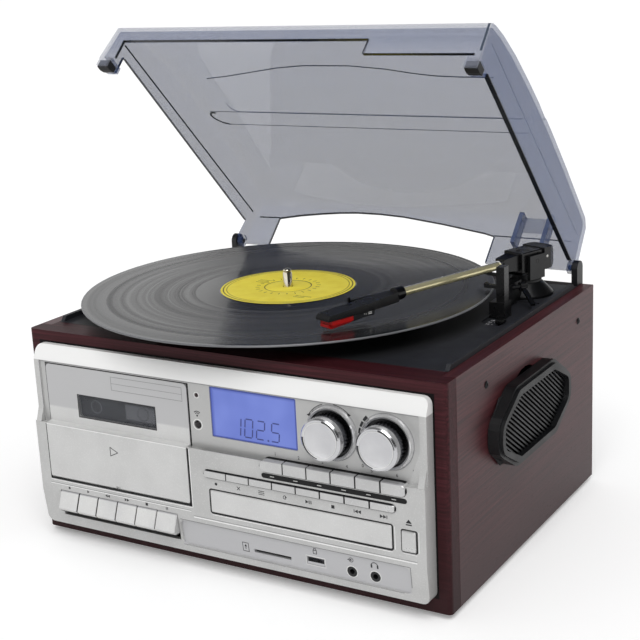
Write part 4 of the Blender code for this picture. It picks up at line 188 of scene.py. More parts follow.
def inside_radius(distance, radius, soft=0.0002):
    """A mask that is 1 nearer than the radius."""
    return fade(distance, radius + soft, radius - soft)


def distance_along(point, start, way):
    """How far a point lies from the start in one direction."""
    return vector("DOT_PRODUCT", vector("SUBTRACT", point, start), way, out="Value")


SHARP_SOLID, SHARP_PIECE = math.radians(32), math.radians(35)


def dress(made, *names, smooth=False):
    """Gives solids their finish; round ones are also shaded smoothly, with their real edges kept sharp."""
    for name in names:
        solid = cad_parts[name]
        solid.data.materials.clear()
        solid.data.materials.append(made)
        if smooth:
            solid.data.polygons.foreach_set("use_smooth", [True] * len(solid.data.polygons))
            solid.modifiers.new("joined", "WELD").merge_threshold = 0.00001
            solid.modifiers.new("sharp", "EDGE_SPLIT").split_angle = SHARP_SOLID


# %% [markdown]
# Small pieces are drawn as outlines in millimetres and pressed a hair's depth out of the face that carries them, as ink
# or foil is. The helpers for places know the faces: the sloping front, the open cover and the arm each have their own.

# %% Places on the front, the cover and the arm
MM = 0.001
WOOD_FACE = -0.127944
FEET = 0.004
HINGE = Vector((0.0, 0.122856, 0.169))
COVER_ANGLE = math.radians(46.0)
X_WAY = Vector((1.0, 0.0, 0.0))
U_WAY = Vector((0.0, -math.cos(COVER_ANGLE), math.sin(COVER_ANGLE)))
V_WAY = Vector((0.0, math.sin(COVER_ANGLE), math.cos(COVER_ANGLE)))
RIM = 0.0005
ARM_TOP = Vector((0.127, 0.086056, 0.1825))
ARM_ALONG = Vector((-0.3216, -0.9469, 0.0))
ARM_RIGHT = Vector((0.9469, -0.3216, 0.0))
DECK_TOP = 0.1565
SIDE_FACE = 0.165


def on_front(reach):
    """A flat face of the front that stands so far out of the wood: x and height above the cabinet's bottom."""
    return lambda x, z, out: Vector((x * MM, WOOD_FACE - reach - out, FEET + z * MM))


def on_cover(x, u, v):
    """x across, u from the hinge to the front rim, v above the rim's plane, on the open cover, in metres."""
    height = v + RIM
    return Vector((
        x,
        HINGE.y - u * math.cos(COVER_ANGLE) + height * math.sin(COVER_ANGLE),
        HINGE.z + u * math.sin(COVER_ANGLE) + height * math.cos(COVER_ANGLE),
    ))


def on_arm(along, across, above):
    """A place on the tonearm from its pivot, in metres."""
    return ARM_TOP + ARM_ALONG * along + ARM_RIGHT * across + Vector((0.0, 0.0, above))


def add_piece(name, shape, made, body="cabinet", smooth=False):
    """Turns a mesh in the making into a piece that has a finish and rides on a body."""
    bmesh.ops.recalc_face_normals(shape, faces=shape.faces[:])
    mesh = bpy.data.meshes.new(name)
    shape.to_mesh(mesh)
    shape.free()
    piece = bpy.data.objects.new(name, mesh)
    scene.collection.objects.link(piece)
    mesh.materials.append(made)
    if smooth:
        mesh.polygons.foreach_set("use_smooth", [True] * len(mesh.polygons))
        piece.modifiers.new("sharp", "EDGE_SPLIT").split_angle = SHARP_PIECE
    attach(piece, body)


def joined(*solids, ends=True):
    """A mesh of solids given as like loops of points; its ends are closed, or else the last loop meets the first."""
    shape = bmesh.new()
    for loops in solids:
        rings = [[shape.verts.new(point) for point in loop] for loop in loops]
        for low, high in zip(rings, rings[1:] + ([] if ends else rings[:1])):
            for number in range(len(low)):
                after = (number + 1) % len(low)
                shape.faces.new((low[number], low[after], high[after], high[number]))
        if ends:
            shape.faces.new(rings[0])
            shape.faces.new(rings[-1])
    return shape


def print_on(name, outlines, place, made, body="cabinet", proud=0.00006, sunk=0.00004):
    """Flat outlines in millimetres, pressed out of a face by the depth of a print."""
    solids = [[[place(x, y, out) for x, y in outline] for out in (-sunk, proud)] for outline in outlines]
    add_piece(name, joined(*solids), made, body)


def bar(x0, y0, x1, y1, width):
    """A straight stroke."""
    length = math.hypot(x1 - x0, y1 - y0)
    dx, dy = (y0 - y1) / length * width / 2, (x1 - x0) / length * width / 2
    return [(x0 + dx, y0 + dy), (x0 - dx, y0 - dy), (x1 - dx, y1 - dy), (x1 + dx, y1 + dy)]


def frame_of(x0, y0, x1, y1, width):
    """Four strokes round a rectangle."""
    return [
        [(x0, y0), (x1, y0), (x1, y0 + width), (x0, y0 + width)],
        [(x0, y1 - width), (x1, y1 - width), (x1, y1), (x0, y1)],
        [(x0, y0 + width), (x0 + width, y0 + width), (x0 + width, y1 - width), (x0, y1 - width)],
        [(x1 - width, y0 + width), (x1, y0 + width), (x1, y1 - width), (x1 - width, y1 - width)],
    ]


def arc(x, y, radius, width, start, end, steps=24, end_width=None):
    """A bent stroke from one angle to another, in degrees; it may grow wider on its way."""
    last = width if end_width is None else end_width
    outer, inner = [], []
    for step in range(steps + 1):
        share = step / steps
        angle = math.radians(start + (end - start) * share)
        half = (width + (last - width) * share) / 2
        outer.append((x + (radius + half) * math.cos(angle), y + (radius + half) * math.sin(angle)))
        inner.append((x + (radius - half) * math.cos(angle), y + (radius - half) * math.sin(angle)))
    return outer + inner[::-1]


def ring(x, y, radius, width):
    """A closed ring, drawn as two halves."""
    return [arc(x, y, radius, width, 0, 180), arc(x, y, radius, width, 180, 360)]


def dot(x, y, radius, steps=20):
    """A round dot."""
    return [(x + radius * math.cos(math.tau * step / steps), y + radius * math.sin(math.tau * step / steps))
            for step in range(steps)]


def number_on(name, words, place, height, middle, made):
    """Plain numbers in the built-in typeface, set in the middle of a place given in millimetres."""
    text = bpy.data.curves.new(name, "FONT")
    text.body = words
    text.align_x = "CENTER"
    text.align_y = "CENTER"
    text.size = height / 0.7
    text.resolution_u = 3
    text.extrude = 0.1
    holder = bpy.data.objects.new(name, text)
    scene.collection.objects.link(holder)
    bpy.context.view_layer.update()
    mesh = bpy.data.meshes.new_from_object(holder)
    bpy.data.objects.remove(holder)
    for vertex in mesh.vertices:
        x, y, z = vertex.co
        vertex.co = place(middle[0] + x, middle[1] + y, 0.00006 if z > 0 else 0.0)
    shape = bmesh.new()
    shape.from_mesh(mesh)
    add_piece(name, shape, made, "cabinet")


print("helpers ready; front at", on_front(0.0)(0, 0, 0)[:])

# %% [markdown]
# The cabinet is chipboard under a stained veneer with a satin lacquer. Its colour comes from long streaks of early and
# late wood, broken by short open pores. The streaks are one noise stretched sixty times along the grain. Corners wear
# first and catch the light, so where two faces of a board meet the lacquer is rougher and painted lighter, for wear and
# as a painted highlight. Towards its foot each board is painted darker as painted shade, and the front board's copy of
# the veneer has darker colours than the sides' copies: painted shade on the front, painted light on the sides.

# %% Veneer for the boards
STREAK = 0.0016
PORE = 0.0005


def veneer(name, board, along, dark, middle, pale, rough, gloss):
    """Stained veneer with its grain along x, y or z: edges lighter from wear and painted highlight, foot painted darker
    as shade.
    """
    made, shader, point = finish(name, Specular_IOR_Level=gloss, Roughness=rough)
    across, short = [1 / STREAK] * 3, [1 / PORE] * 3
    across["xyz".index(along)] = 1 / (STREAK * 60)
    short["xyz".index(along)] = 1 / (PORE * 14)
    streaks = noise(vector("MULTIPLY", point, across), 1.0, 4.0, Distortion=0.6)
    pores = noise(vector("MULTIPLY", point, short), 1.0, 1.0)
    feed(shader, Base_Color=ramp(streaks, (0.28, dark), (0.72, pale), (0.5, middle)))
    open_pores = fade(pores, 0.62, 0.72)
    cover(shader, calc("MULTIPLY", open_pores, 0.45), dark, rough + 0.2)
    low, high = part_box(board)
    split = node(point.id_data, "SeparateXYZ", {0: point}).outputs
    gaps = [calc("MINIMUM", calc("SUBTRACT", split[axis], low[axis]), calc("SUBTRACT", high[axis], split[axis]))
            for axis in range(3)]
    lesser, greater = (calc(kind, gaps[0], gaps[1]) for kind in ("MINIMUM", "MAXIMUM"))
    second_least = calc("MAXIMUM", lesser, calc("MINIMUM", greater, gaps[2]))
    reach = calc("MULTIPLY", noise(point, 0.004, 3.0), 0.0016)
    # wear and painted highlight: lighter, rougher lacquer where two faces of the board meet
    wear_and_edge_highlight = fade(calc("SUBTRACT", reach, second_least), 0.0, 0.0008, 0.0, 0.5)
    cover(shader, wear_and_edge_highlight, pale, rough + 0.1)
    # painted shade: the board is painted darker towards its foot
    cover(shader, calc("MULTIPLY", within(point, 0.035, z=(-0.2, 0.045)), 0.85), dark)
    feed(shader, Normal=bump(calc("SUBTRACT", streaks, open_pores), 0.00003, 0.6))
    return made, shader, point


# painted shade: the front's copy of the veneer has darker colours than the sides' copies
veneer_front_in_shade, shader, point = veneer("stained_veneer_front", "front_frame", "x", "2a1013", "3a161b", "4c2127", 0.45,
                                     0.18)
bezel_low, bezel_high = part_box("front_bezel")
# painted shadow: the wood round and just above the bezel is painted near black
bezel_shadow_mask = within(point, x=(bezel_low.x - 0.0008, bezel_high.x + 0.0012), y=(-0.2, WOOD_FACE + 0.0004),
                      z=(bezel_low.z - 0.0004, bezel_high.z + 0.0013))
cover(shader, bezel_shadow_mask, "0a0506", 0.7)
dress(veneer_front_in_shade, "front_frame")
# painted light: the sides' copies of the veneer have lighter colours than the front's
for side in ("left", "right"):
    board = side + "_side_panel"
    dress(veneer("stained_veneer_" + side, board, "y", "331519", "452024", "592d31", 0.36, 0.32)[0], board)
print("veneered boards:", 3)

# %% [markdown]
# The back and the bottom are hardboard: pressed wood fibre, dark and dull, with the fibres showing as short flecks. The
# feet are felted rubber, the line sockets are nickel with a coloured ring, and the cord's gland is black.

# %% Hardboard back and bottom
hardboard, shader, point = skin("hardboard", "3b2c27", "2a1e1b", 0.0012, 0.00004, 0.8, 0.04, 0.006)
cover(shader, fade(noise(point, 0.0009, 1.0), 0.66, 0.7), "5d4a40")
cover(shader, within(point, z=(-0.001, 0.0039)), "141414", 0.9)
dress(hardboard, "bottom_panel")
back_board, shader, point = skin("hardboard_back", "32272a", "241b1e", 0.0012, 0.00004, 0.75, 0.04, 0.006)
BACK_FACE = 0.126056
cover(shader, within(point, y=(BACK_FACE + 0.0001, 0.2)), "17171a", 0.5)
for x in (-0.030, -0.016):
    nickel = inside_radius(radius_from(point, (x, 0.0, 0.039), (1.0, 0.0, 1.0)), 0.0052)
    nickel = calc("MULTIPLY", nickel, within(point, y=(BACK_FACE + 0.0001, 0.2)))
    cover(shader, nickel, "b9b6ae", 0.3, 1.0)
dress(back_board, "back_panel")
print("back face at", BACK_FACE)

# %% [markdown]
# The deck is one big moulding of black ABS with a fine leather-like grain, and the arm's base, the rest and the switch
# match it. The grain is about half a millimetre wide and keeps the black from shining like piano lacquer.

# %% Black ABS
deck_plastic, shader, point = skin("grained_abs", "2b2c31", "232429", 0.0006, 0.00003, 0.5, 0.05)
from_platter = radius_from(point, (-0.0208, -0.006844, 0.0), (1.0, 1.0, 0.0))
# painted shade: the deck is darker and duller round and under the platter
cover(shader, inside_radius(from_platter, 0.152, 0.004), "1b1c1f", 0.6)
dress(deck_plastic, "deck_plate")
satin_black = skin("satin_abs", "0e0f11", "09090b", 0.0008, 0.00001, 0.34, 0.06)[0]
dress(satin_black, "tonearm_base", "tonearm_yoke", "cue_lever", smooth=True)
block_plastic = skin("satin_abs_block", "0a0a0c", "060607", 0.0008, 0.00001, 0.28, 0.05)[0]
dress(block_plastic, "tonearm_block", "headshell", "arm_rest", "speed_switch")
soft_rubber = skin("nitrile_rubber", "1c1c1e", "131314", 0.0004, 0.00002, 0.75, 0.05)[0]
dress(soft_rubber, "cue_platform", "drive_belt", smooth=True)
print("black pieces dressed")

# %% [markdown]
# The front is ABS sprayed with silver lacquer: fine aluminium flakes in a clear coat. Flakes give a cool grey that is
# neither mirror nor matt, with a faint sparkle and the orange peel of sprayed paint. The recesses get painted shade,
# the top bevel and the door's sloping step a painted highlight, and the door's upper part painted shade. The two rings
# round the knobs are plated, so they are metal and much smoother, and the gap inside each ring is painted dark as
# shade.

# %% Silver lacquer
KNOBS, KNOB_Z = {"tuning": 88.8, "volume": 128.1}, 113.1
FLAKE = 0.0005


def silver(name, pale, dark, rough=0.36, metal=0.35):
    """Sprayed silver: bright flakes over a soft orange peel."""
    made, shader, point = skin(name, pale, dark, 0.0022, 0.000006, rough, 0.03, 0.03, Metallic=metal)
    flakes = node(point.id_data, "TexVoronoi", {"Vector": point, "Scale": 1 / FLAKE}).outputs["Color"]
    share = node(point.id_data, "SeparateColor", {0: flakes}).outputs[0]
    cover(shader, fade(share, 0.8, 1.0, 0.0, 0.18), "ffffff", rough - 0.08)
    return made, shader, point


def from_knob_axis(point, x):
    """The distance from the axis of the knob at x, in millimetres."""
    return radius_from(point, (x * MM, 0.0, FEET + KNOB_Z * MM), (1.0, 0.0, 1.0))


bezel_paint, shader, point = silver("silver_lacquer", "cbcbca", "c0c0bf")
upper_recess_shade = within(point, x=(-0.1505, 0.1505), y=(WOOD_FACE - 0.0083, WOOD_FACE - 0.004),
                      z=(FEET + 0.0874, FEET + 0.1328))
# painted shade in the upper recess
cover(shader, upper_recess_shade, "bdbdbc", 0.34)
lower_recess_shade = within(point, x=(-0.0318, 0.1433), y=(WOOD_FACE - 0.0131, WOOD_FACE - 0.009),
                      z=(FEET + 0.0154, FEET + 0.0340))
# painted shade in the lower recess
cover(shader, lower_recess_shade, "c4c4c6", 0.4)
# painted highlight on the bezel's top bevel
cover(shader, within(point, z=(FEET + 0.1333, FEET + 0.150)), "f6f6f5", 0.3, 0.1)
# the plated rings round the knobs, and inside each ring the gap to the knob painted dark as shade
for x in KNOBS.values():
    from_knob = from_knob_axis(point, x)
    for radius, reach, code, rough, metal in (
        (0.0184, 0.0083, "f2f2f3", 0.2, 0.7), (0.0159, 0.0075, "17171a", 0.4, 0.0),
    ):
        trim = calc("MULTIPLY", inside_radius(from_knob, radius), within(point, y=(-0.2, WOOD_FACE - reach)))
        cover(shader, trim, code, rough, metal)
dress(bezel_paint, "front_bezel", smooth=True)
door_paint, shader, point = silver("silver_lacquer_door", "d7d7d6", "cdcdcc")
# painted highlight on the door's sloping step
lit_slope_highlight = within(point, 0.0008, y=(-0.2, WOOD_FACE - 0.0090), z=(FEET + 0.0886, FEET + 0.1000))
cover(shader, lit_slope_highlight, "dcdcdb", 0.3, 0.1)
# painted shade on the door's upper part, as in the upper recess round it
cover(shader, within(point, 0.0008, z=(FEET + 0.1000, FEET + 0.1400)), "c3c3c4")
dress(door_paint, "cassette_door")
tray_paint, shader, point = silver("silver_lacquer_tray", "dcdcdb", "d2d2d1")
cover(shader, within(point, y=(WOOD_FACE - 0.0102, 0.2)), "303135", 0.5, 0.0)
dress(tray_paint, "cd_tray")
dress(silver("silver_lacquer_button", "d4d4d3", "c6c6c6", 0.3, 0.4)[0], "open_close_button")
print("silver pieces:", 4)

# %% [markdown]
# A row of buttons gets painted shade: a dark seam where two of them meet, a dark line below, a darker upper face and
# a dark line along its back. One mask folded back and forth over the width of a button draws every seam of a row.

# %% Rows of buttons
FUNCTION_LEFT, FUNCTION_PITCH = 36.6, 17.7333
TRANSPORT_LEFT, TRANSPORT_PITCH = -8.6, 17.975
KEYS_LEFT, KEYS_PITCH = -138.5, 17.4167
BUTTON_ROWS = (
    ("function_button", 6, FUNCTION_LEFT, FUNCTION_PITCH, 0.0810, 0.0894, 0.0108,
     "sources", "d4d4d3", "c6c6c6", 0.4, 0.00045),
    ("transport_button", 8, TRANSPORT_LEFT, TRANSPORT_PITCH, 0.0694, 0.0750, 0.0300,
     "transport", "d4d4d3", "c6c6c6", 0.4, 0.00045),
    ("cassette_key", 6, KEYS_LEFT, KEYS_PITCH, 0.0230, 0.03735, 0.0030,
     "keys", "dcdcda", "cecece", 0.1, 0.0004),
)
# painted shade on each row: a darker upper face, dark seams, a dark line below and a dark line along the back
for stem, count, left, pitch, low, high, back, name, pale, dark, metal, seam in BUTTON_ROWS:
    row_paint, shader, point = silver("silver_lacquer_" + name, pale, dark, 0.3, metal)
    top = FEET + high
    cover(shader, within(point, z=(top - 0.0006, top + 0.01)), "b2b2b4")
    split = node(point.id_data, "SeparateXYZ", {0: point}).outputs
    meeting = calc("PINGPONG", calc("SUBTRACT", split[0], left * MM), pitch * MM / 2)
    nearest = calc("MINIMUM", calc("SUBTRACT", split[2], FEET + low), meeting)
    cover(shader, fade(nearest, seam + 0.0001, seam - 0.0001), "19191b", 0.6)
    cover(shader, within(point, 0.0001, y=(WOOD_FACE - back, 0.0), z=(top - 0.0005, top + 0.01)), "19191b", 0.6)
    dress(row_paint, *["%s_%d" % (stem, number + 1) for number in range(count)])
print("rows of buttons:", len(BUTTON_ROWS))

# %% [markdown]
# Each knob is a plated ABS skirt with fine ribs, a bright collar, and a cap turned on a lathe. The lathe leaves rings a
# tenth of a millimetre apart; they are drawn at 0.5 mm, because finer ones would not show at this size.

# %% Plated knobs
TURNING_MARK = 0.0005
for name, x in KNOBS.items():
    knob_metal, shader, point = skin("spun_aluminium_" + name, "e0e0e2", "d0d0d3", 0.0015, 0.000003, 0.2, 0.04,
                                     Metallic=1.0)
    rings = calc("SINE", calc("MULTIPLY", from_knob_axis(point, x), math.tau / TURNING_MARK))
    feed(shader, Normal=bump(rings, 0.000003))
    cover(shader, within(point, y=(WOOD_FACE - 0.0181, WOOD_FACE - 0.0081)), "7c7d82", 0.2)
    cover(shader, within(point, y=(WOOD_FACE - 0.0095, WOOD_FACE)), "3c3d40", 0.4)
    dress(knob_metal, name + "_knob", smooth=True)
print("knobs:", len(KNOBS))

# %% [markdown]
# A record is pressed vinyl. Its grooves are far finer than a picture can show, but they bend reflections into the
# streaks that run from the label to the rim, so the bump is one noise that changes only with the distance from the
# middle. The gaps between pieces of music and the run-out near the label are smooth.

# %% Pressed vinyl
CENTRE = (-0.0208, -0.006844, 0.0)
PIECES_OF_MUSIC_END = (0.0790, 0.0880, 0.1035, 0.1172, 0.1330)
GROOVES_START, GROOVES_END, RIM_HIGHLIGHT_START = 0.0680, 0.1460, 0.1490


def line_at(distance, radius, inner, outer, strength=1.0):
    """A mask for a thin ring, full up to the inner distance from its middle and gone at the outer one."""
    return fade(calc("ABSOLUTE", calc("SUBTRACT", distance, radius)), outer, inner, 0.0, strength)


vinyl, shader, point = finish("pressed_vinyl", Roughness=0.16, Specular_IOR_Level=0.48, Anisotropic=0.5)
around = radius_from(point, CENTRE, (1.0, 1.0, 0.0))
track = node(point.id_data, "CombineXYZ", {0: around}).outputs[0]
bands = noise(track, 0.007, 1.0)
feed(shader, Base_Color=ramp(bands, (0.3, "101113"), (0.7, "1e1f22")), Roughness=fade(bands, 0.3, 0.7, 0.12, 0.3))
plain = calc("MAXIMUM", fade(around, GROOVES_END, GROOVES_END + 0.0008), inside_radius(around, GROOVES_START))
for radius in PIECES_OF_MUSIC_END:
    plain = calc("MAXIMUM", plain, line_at(around, radius, 0.0004, 0.0009, 0.6))
cover(shader, plain, "151618", 0.13)
# painted highlight: a lighter band on the record's rounded rim
cover(shader, fade(around, RIM_HIGHLIGHT_START, RIM_HIGHLIGHT_START + 0.0005), "6c6d70", 0.3)
grooves = calc("MULTIPLY", noise(track, 0.0009, 3.0), calc("SUBTRACT", 1.0, plain))
tangent = node(point.id_data, "Tangent", direction_type="RADIAL", axis="Z").outputs[0]
feed(shader, Normal=bump(grooves, 0.00007, 0.8), Tangent=tangent)
dress(vinyl, "record", smooth=True)
dress(skin("die_cast_platter", "3a3b3f", "2d2e31", 0.0012, 0.00002, 0.5, 0.05)[0], "platter", smooth=True)
print("record grooves, in mm:", GROOVES_START / MM, "to", GROOVES_END / MM)

# %% [markdown]
# The label is yellow paper pressed into the vinyl while it is hot. It keeps a faint fibre and a few rings from the
# press. The place where a real one is printed is kept bare, with plain rings and ticks only.

# %% The paper label
LABEL_TOP, LABEL_RADIUS = 0.1710, 0.0494
label_paper, shader, point = skin("label_paper", "fbea4e", "f2de44", 0.0007, 0.00001, 0.55, 0.05, 0.01)
around = radius_from(point, CENTRE, (1.0, 1.0, 0.0))
for radius, width in ((0.0475, 0.00035), (0.0172, 0.0003), (0.0450, 0.0002)):
    cover(shader, line_at(around, radius, width, width * 1.5), "5e5420")
LABEL_TURNS = [math.tau * step / 64 for step in range(64)]
LABEL_PROFILE = ((0.0038, -0.0001), (0.0038, 0.00012), (0.0166, 0.00012), (0.0170, 0.00002), (0.0174, 0.00012),
                 (LABEL_RADIUS, 0.00012), (0.0497, -0.0001))
loops = [[(CENTRE[0] + radius * math.cos(turn), CENTRE[1] + radius * math.sin(turn), LABEL_TOP + height)
          for turn in LABEL_TURNS] for radius, height in LABEL_PROFILE]
add_piece("record_label", joined(loops, ends=False), label_paper, "turntable", smooth=True)
ink = skin("printing_ink", "2c2a26", "201f1c", 0.0005, 0.000002, 0.6)[0]


def on_label(x, y, out):
    """Millimetres from the spindle on the label's face."""
    return Vector((CENTRE[0] + x * MM, CENTRE[1] + y * MM, LABEL_TOP + 0.00012 + out))


ticks = [bar(21 * math.cos(angle), 21 * math.sin(angle), 24 * math.cos(angle), 24 * math.sin(angle), 0.5)
         for angle in [math.tau * step / 24 for step in range(24)]]
lines = [bar(-30, level, -30 + length, level, 0.5) for level, length in ((9, 12), (6, 9), (3, 12))]
lines += [bar(20, level, 20 + length, level, 0.5) for level, length in ((-22, 13), (-25, 9))]
print_on("label_lines", ticks + lines, on_label, ink, "turntable")
print("label radius:", LABEL_RADIUS)

# %% [markdown]
# The dust cover is smoked acrylic, moulded 2 mm thick. Acrylic shows its tint where light crosses much of it, so the
# flat top is pale. The front wall, which faces the light, is painted paler still as painted light, and every cut edge
# gets a strip of painted shade, nearly black. The finish lets part of the light through unbent; the edges are thin
# strips, because that dark line makes the sheet look thick.

# %% Smoked acrylic
FRONT_WALL_START = 0.2338
acrylic, shader, point = finish("smoked_acrylic", Roughness=0.04, IOR=1.49, Alpha=0.45)
dust = noise(point, 0.012, 4.0)
feed(shader, Base_Color=ramp(dust, (0.3, "495b88"), (0.7, "536795")), Roughness=fade(dust, 0.0, 1.0, 0.02, 0.07),
     Normal=bump(noise(point, 0.06, 1.0), 0.0003, 0.4))
lit_front_wall = fade(distance_along(point, HINGE, U_WAY), FRONT_WALL_START, FRONT_WALL_START + 0.0006)
# painted light: the front wall, which faces the light, is painted paler
cover(shader, lit_front_wall, "acb1c2")
feed(shader, Alpha=fade(lit_front_wall, 0.0, 1.0, 0.45, 0.34))
dress(acrylic, "lid", smooth=True)
# painted shade: a near-black finish for the strips along the cover's cut edges
edge_shade_acrylic = skin("acrylic_edge_shade", "23272f", "181b22", 0.002, 0.000004, 0.25, 0.05)[0]

# %% [markdown]
# Steel, brass and electronics each get their own finish, also where they are seen only through openings: zinc plate is
# a dull blue grey with small crystals, brass is yellow with fine grain, and the board is green lacquer over copper. The
# arm's tube gets a painted reflection of the warm label on its right side. The hinge brackets are black plastic.

# %% Metals and the inside
zinc = skin("zinc_plated_steel", "b7bac0", "9fa3aa", 0.0018, 0.000008, 0.35, 0.08, 0.004, Metallic=1.0)[0]
dress(zinc, "drive_motor", "cd_drive", smooth=True)
dress(skin("hinge_abs", "1b1c1f", "131416", 0.0007, 0.00001, 0.4)[0], "hinge_bracket_left", "hinge_bracket_right")
brass = skin("turned_brass", "d3ac5c", "b98f42", 0.0008, 0.000006, 0.28, 0.05, 0.004, Metallic=1.0)[0]
dress(brass, "motor_pulley", smooth=True)
steel, shader, point = skin("polished_steel", "e4e2de", "d3d1cc", 0.001, 0.000002, 0.24, 0.04, 0.006, Metallic=0.7)
# painted reflection of the warm label on the right side of the tube
cover(shader, fade(distance_along(point, ARM_TOP, ARM_RIGHT), 0.0004, 0.0012), "f2e9bb", 0.2)
dress(steel, "tonearm_tube", smooth=True)
spindle_steel = skin("spindle_steel", "e9e3d2", "d8d0ba", 0.0012, 0.000002, 0.12, 0.03, 0.006, Metallic=1.0)[0]
dress(spindle_steel, "spindle", smooth=True)
dress(skin("inner_abs", "3a3a3d", "2e2e31", 0.0007, 0.00001, 0.5)[0], "cassette_mechanism")
board, shader, point = skin("solder_mask", "2f6b45", "245437", 0.0012, 0.00002, 0.35, 0.05, 0.004)
SOCKETS_END = -0.1180
cover(shader, within(point, y=(-0.2, SOCKETS_END), z=(0.0, FEET + 0.040)), "18181a", 0.45)
usb_shell = within(point, x=(0.0660, 0.0820), y=(-0.2, SOCKETS_END), z=(FEET + 0.019, FEET + 0.028))
cover(shader, usb_shell, "c9c9cb", 0.25, 1.0)
dress(board, "circuit_board")
print("inner pieces dressed")

# %% [markdown]
# The speakers are paper cones behind slatted grilles of black ABS. A dark woven cloth shows between the slats, and the
# grilles are a touch glossier than the cloth.

# %% Grilles and cones
grille_abs = skin("grille_abs", "121316", "0b0c0e", 0.0009, 0.00002, 0.45, 0.06)[0]
paper_cone = skin("paper_cone", "35332f", "282623", 0.0008, 0.00005, 0.85, 0.04, 0.004)[0]
dress(grille_abs, "speaker_grille_left", "speaker_grille_right")
dress(paper_cone, "speaker_driver_left", "speaker_driver_right", smooth=True)

# %% [markdown]
# The display is a liquid crystal panel with a blue light behind it, under a thin glossy window. It glows evenly inside
# a darker border. The door's window is clear plastic, tinted grey. The cartridge is dark plastic with a red stylus
# holder, which begins at one place along the arm.

# %% Display, window and cartridge
display, shader, point = finish("display_window", Roughness=0.12, Emission_Strength=0.28)
glow = ramp(noise(point, 0.02, 1.0), (0.3, "5f70bd"), (0.7, "6c7dc8"))
feed(shader, Base_Color=glow, Emission_Color=glow)
lit_field = within(point, 0.0009, x=(-0.0012, 0.0622), z=(FEET + 0.0980, FEET + 0.1303))
cover(shader, calc("SUBTRACT", 1.0, lit_field), "4454a6")
dress(display, "lcd_window")
tinted, shader, point = finish("tinted_acrylic", Roughness=0.06, IOR=1.49, Alpha=0.28)
feed(shader, Base_Color=ramp(noise(point, 0.01, 2.0), (0.3, "55575c"), (0.7, "63666c")))
dress(tinted, "cassette_window")
holder, shader, point = skin("cartridge_abs", "212226", "17181a", 0.0008, 0.00001, 0.35)
STYLUS_HOLDER_START = 0.1745
along_arm = distance_along(point, ARM_TOP, ARM_ALONG)
cover(shader, fade(along_arm, STYLUS_HOLDER_START, STYLUS_HOLDER_START + 0.0003), "b81414", 0.3)
dress(holder, "cartridge")
print("display, window and cartridge dressed")

# %% [markdown]
# Around the tape door, the tray and the buttons a real front shows a black gap, deeper than a picture can follow. A
# line of painted shadow on the silver beside each gap gives the same shade from every side, and the gap itself stays
# free. Painted highlights and painted shade lines also follow the edges of the recesses and the bands.

# %% Shadow lines round the openings
LOWER_FACE = 0.0135
upper_face, lower_face = on_front(0.0082), on_front(LOWER_FACE)
shadow = skin("seam_shadow", "1d1d1f", "131314", 0.001, 0.000004, 0.8)[0]
DOOR_LEFT, DOOR_RIGHT, DOOR_LOW, DOOR_STEP, DOOR_HIGH = -145.5, -21.5, 46.3, 87.6, 131.5
upper_lines = [
    bar(DOOR_LEFT, DOOR_STEP, DOOR_LEFT, DOOR_HIGH, 0.8), bar(DOOR_RIGHT, DOOR_STEP, DOOR_RIGHT, DOOR_HIGH, 1.3),
    bar(DOOR_LEFT - 0.35, DOOR_HIGH, DOOR_RIGHT + 0.5, DOOR_HIGH, 0.6),
]
lower_lines = [
    bar(DOOR_LEFT, DOOR_LOW, DOOR_LEFT, DOOR_STEP, 1.3), bar(DOOR_RIGHT, DOOR_LOW, DOOR_RIGHT, DOOR_STEP, 1.6),
    bar(DOOR_LEFT - 0.6, DOOR_LOW, DOOR_RIGHT + 0.7, DOOR_LOW, 1.4),
]
print_on("door_gap_upper", upper_lines, upper_face, shadow)
print_on("door_gap_lower", lower_lines, lower_face, shadow)


def round_frame(x0, y0, x1, y1, radius, thin, thick):
    """A rectangle with round corners: thin at the left and the top, thick at the right and the bottom."""
    return [
        bar(x0 + radius, y0, x1 - radius, y0, thick), bar(x0 + radius, y1, x1 - radius, y1, thin),
        bar(x0, y0 + radius, x0, y1 - radius, thin), bar(x1, y0 + radius, x1, y1 - radius, thick),
        arc(x0 + radius, y0 + radius, radius, thin, 180, 270, 8, thick),
        arc(x1 - radius, y0 + radius, radius, thick, 270, 360, 8),
        arc(x1 - radius, y1 - radius, radius, thick, 0, 90, 8, thin),
        arc(x0 + radius, y1 - radius, radius, thin, 90, 180, 8),
    ]


print_on("tray_gap", round_frame(-5.3, 44.2, 132.5, 61.4, 1.6, 0.8, 1.2), lower_face, shadow)
print_on("eject_gap", round_frame(138.5, 44.9, 149.3, 59.7, 1.2, 0.6, 1.0), lower_face, shadow)


def on_foot(sunk_by):
    """The front's foot leans out as it rises; sunk_by is the depth of the recess in it."""
    def place(x, z, out):
        lean = min(max((z * MM - 0.010) / 0.026, 0.0), 1.0)
        return Vector((x * MM, WOOD_FACE - 0.0105 - 0.003 * lean + sunk_by - out, FEET + z * MM))
    return place


# painted shade lines along the edges of the lower and upper recesses; the same grey also prints the door's frame
recess_shade_lines = [bar(-32, 15.0, 138, 15.0, 0.35), bar(-32, 34.6, 143.6, 34.6, 0.45),
               bar(143.9, 20.0, 143.9, 34.6, 0.5)]
shade_and_print = skin("lacquer_shade_and_print", "8a8a8c", "7d7d80", 0.001, 0.000004, 0.5)[0]
print_on("recess_edge_shade", recess_shade_lines, on_foot(0.0), shade_and_print)
print_on("upper_edge_shade", [bar(-150.2, 132.9, 150.2, 132.9, 0.4), bar(-150.6, 88, -150.6, 132.9, 0.4)], on_front(0.009),
         shade_and_print)
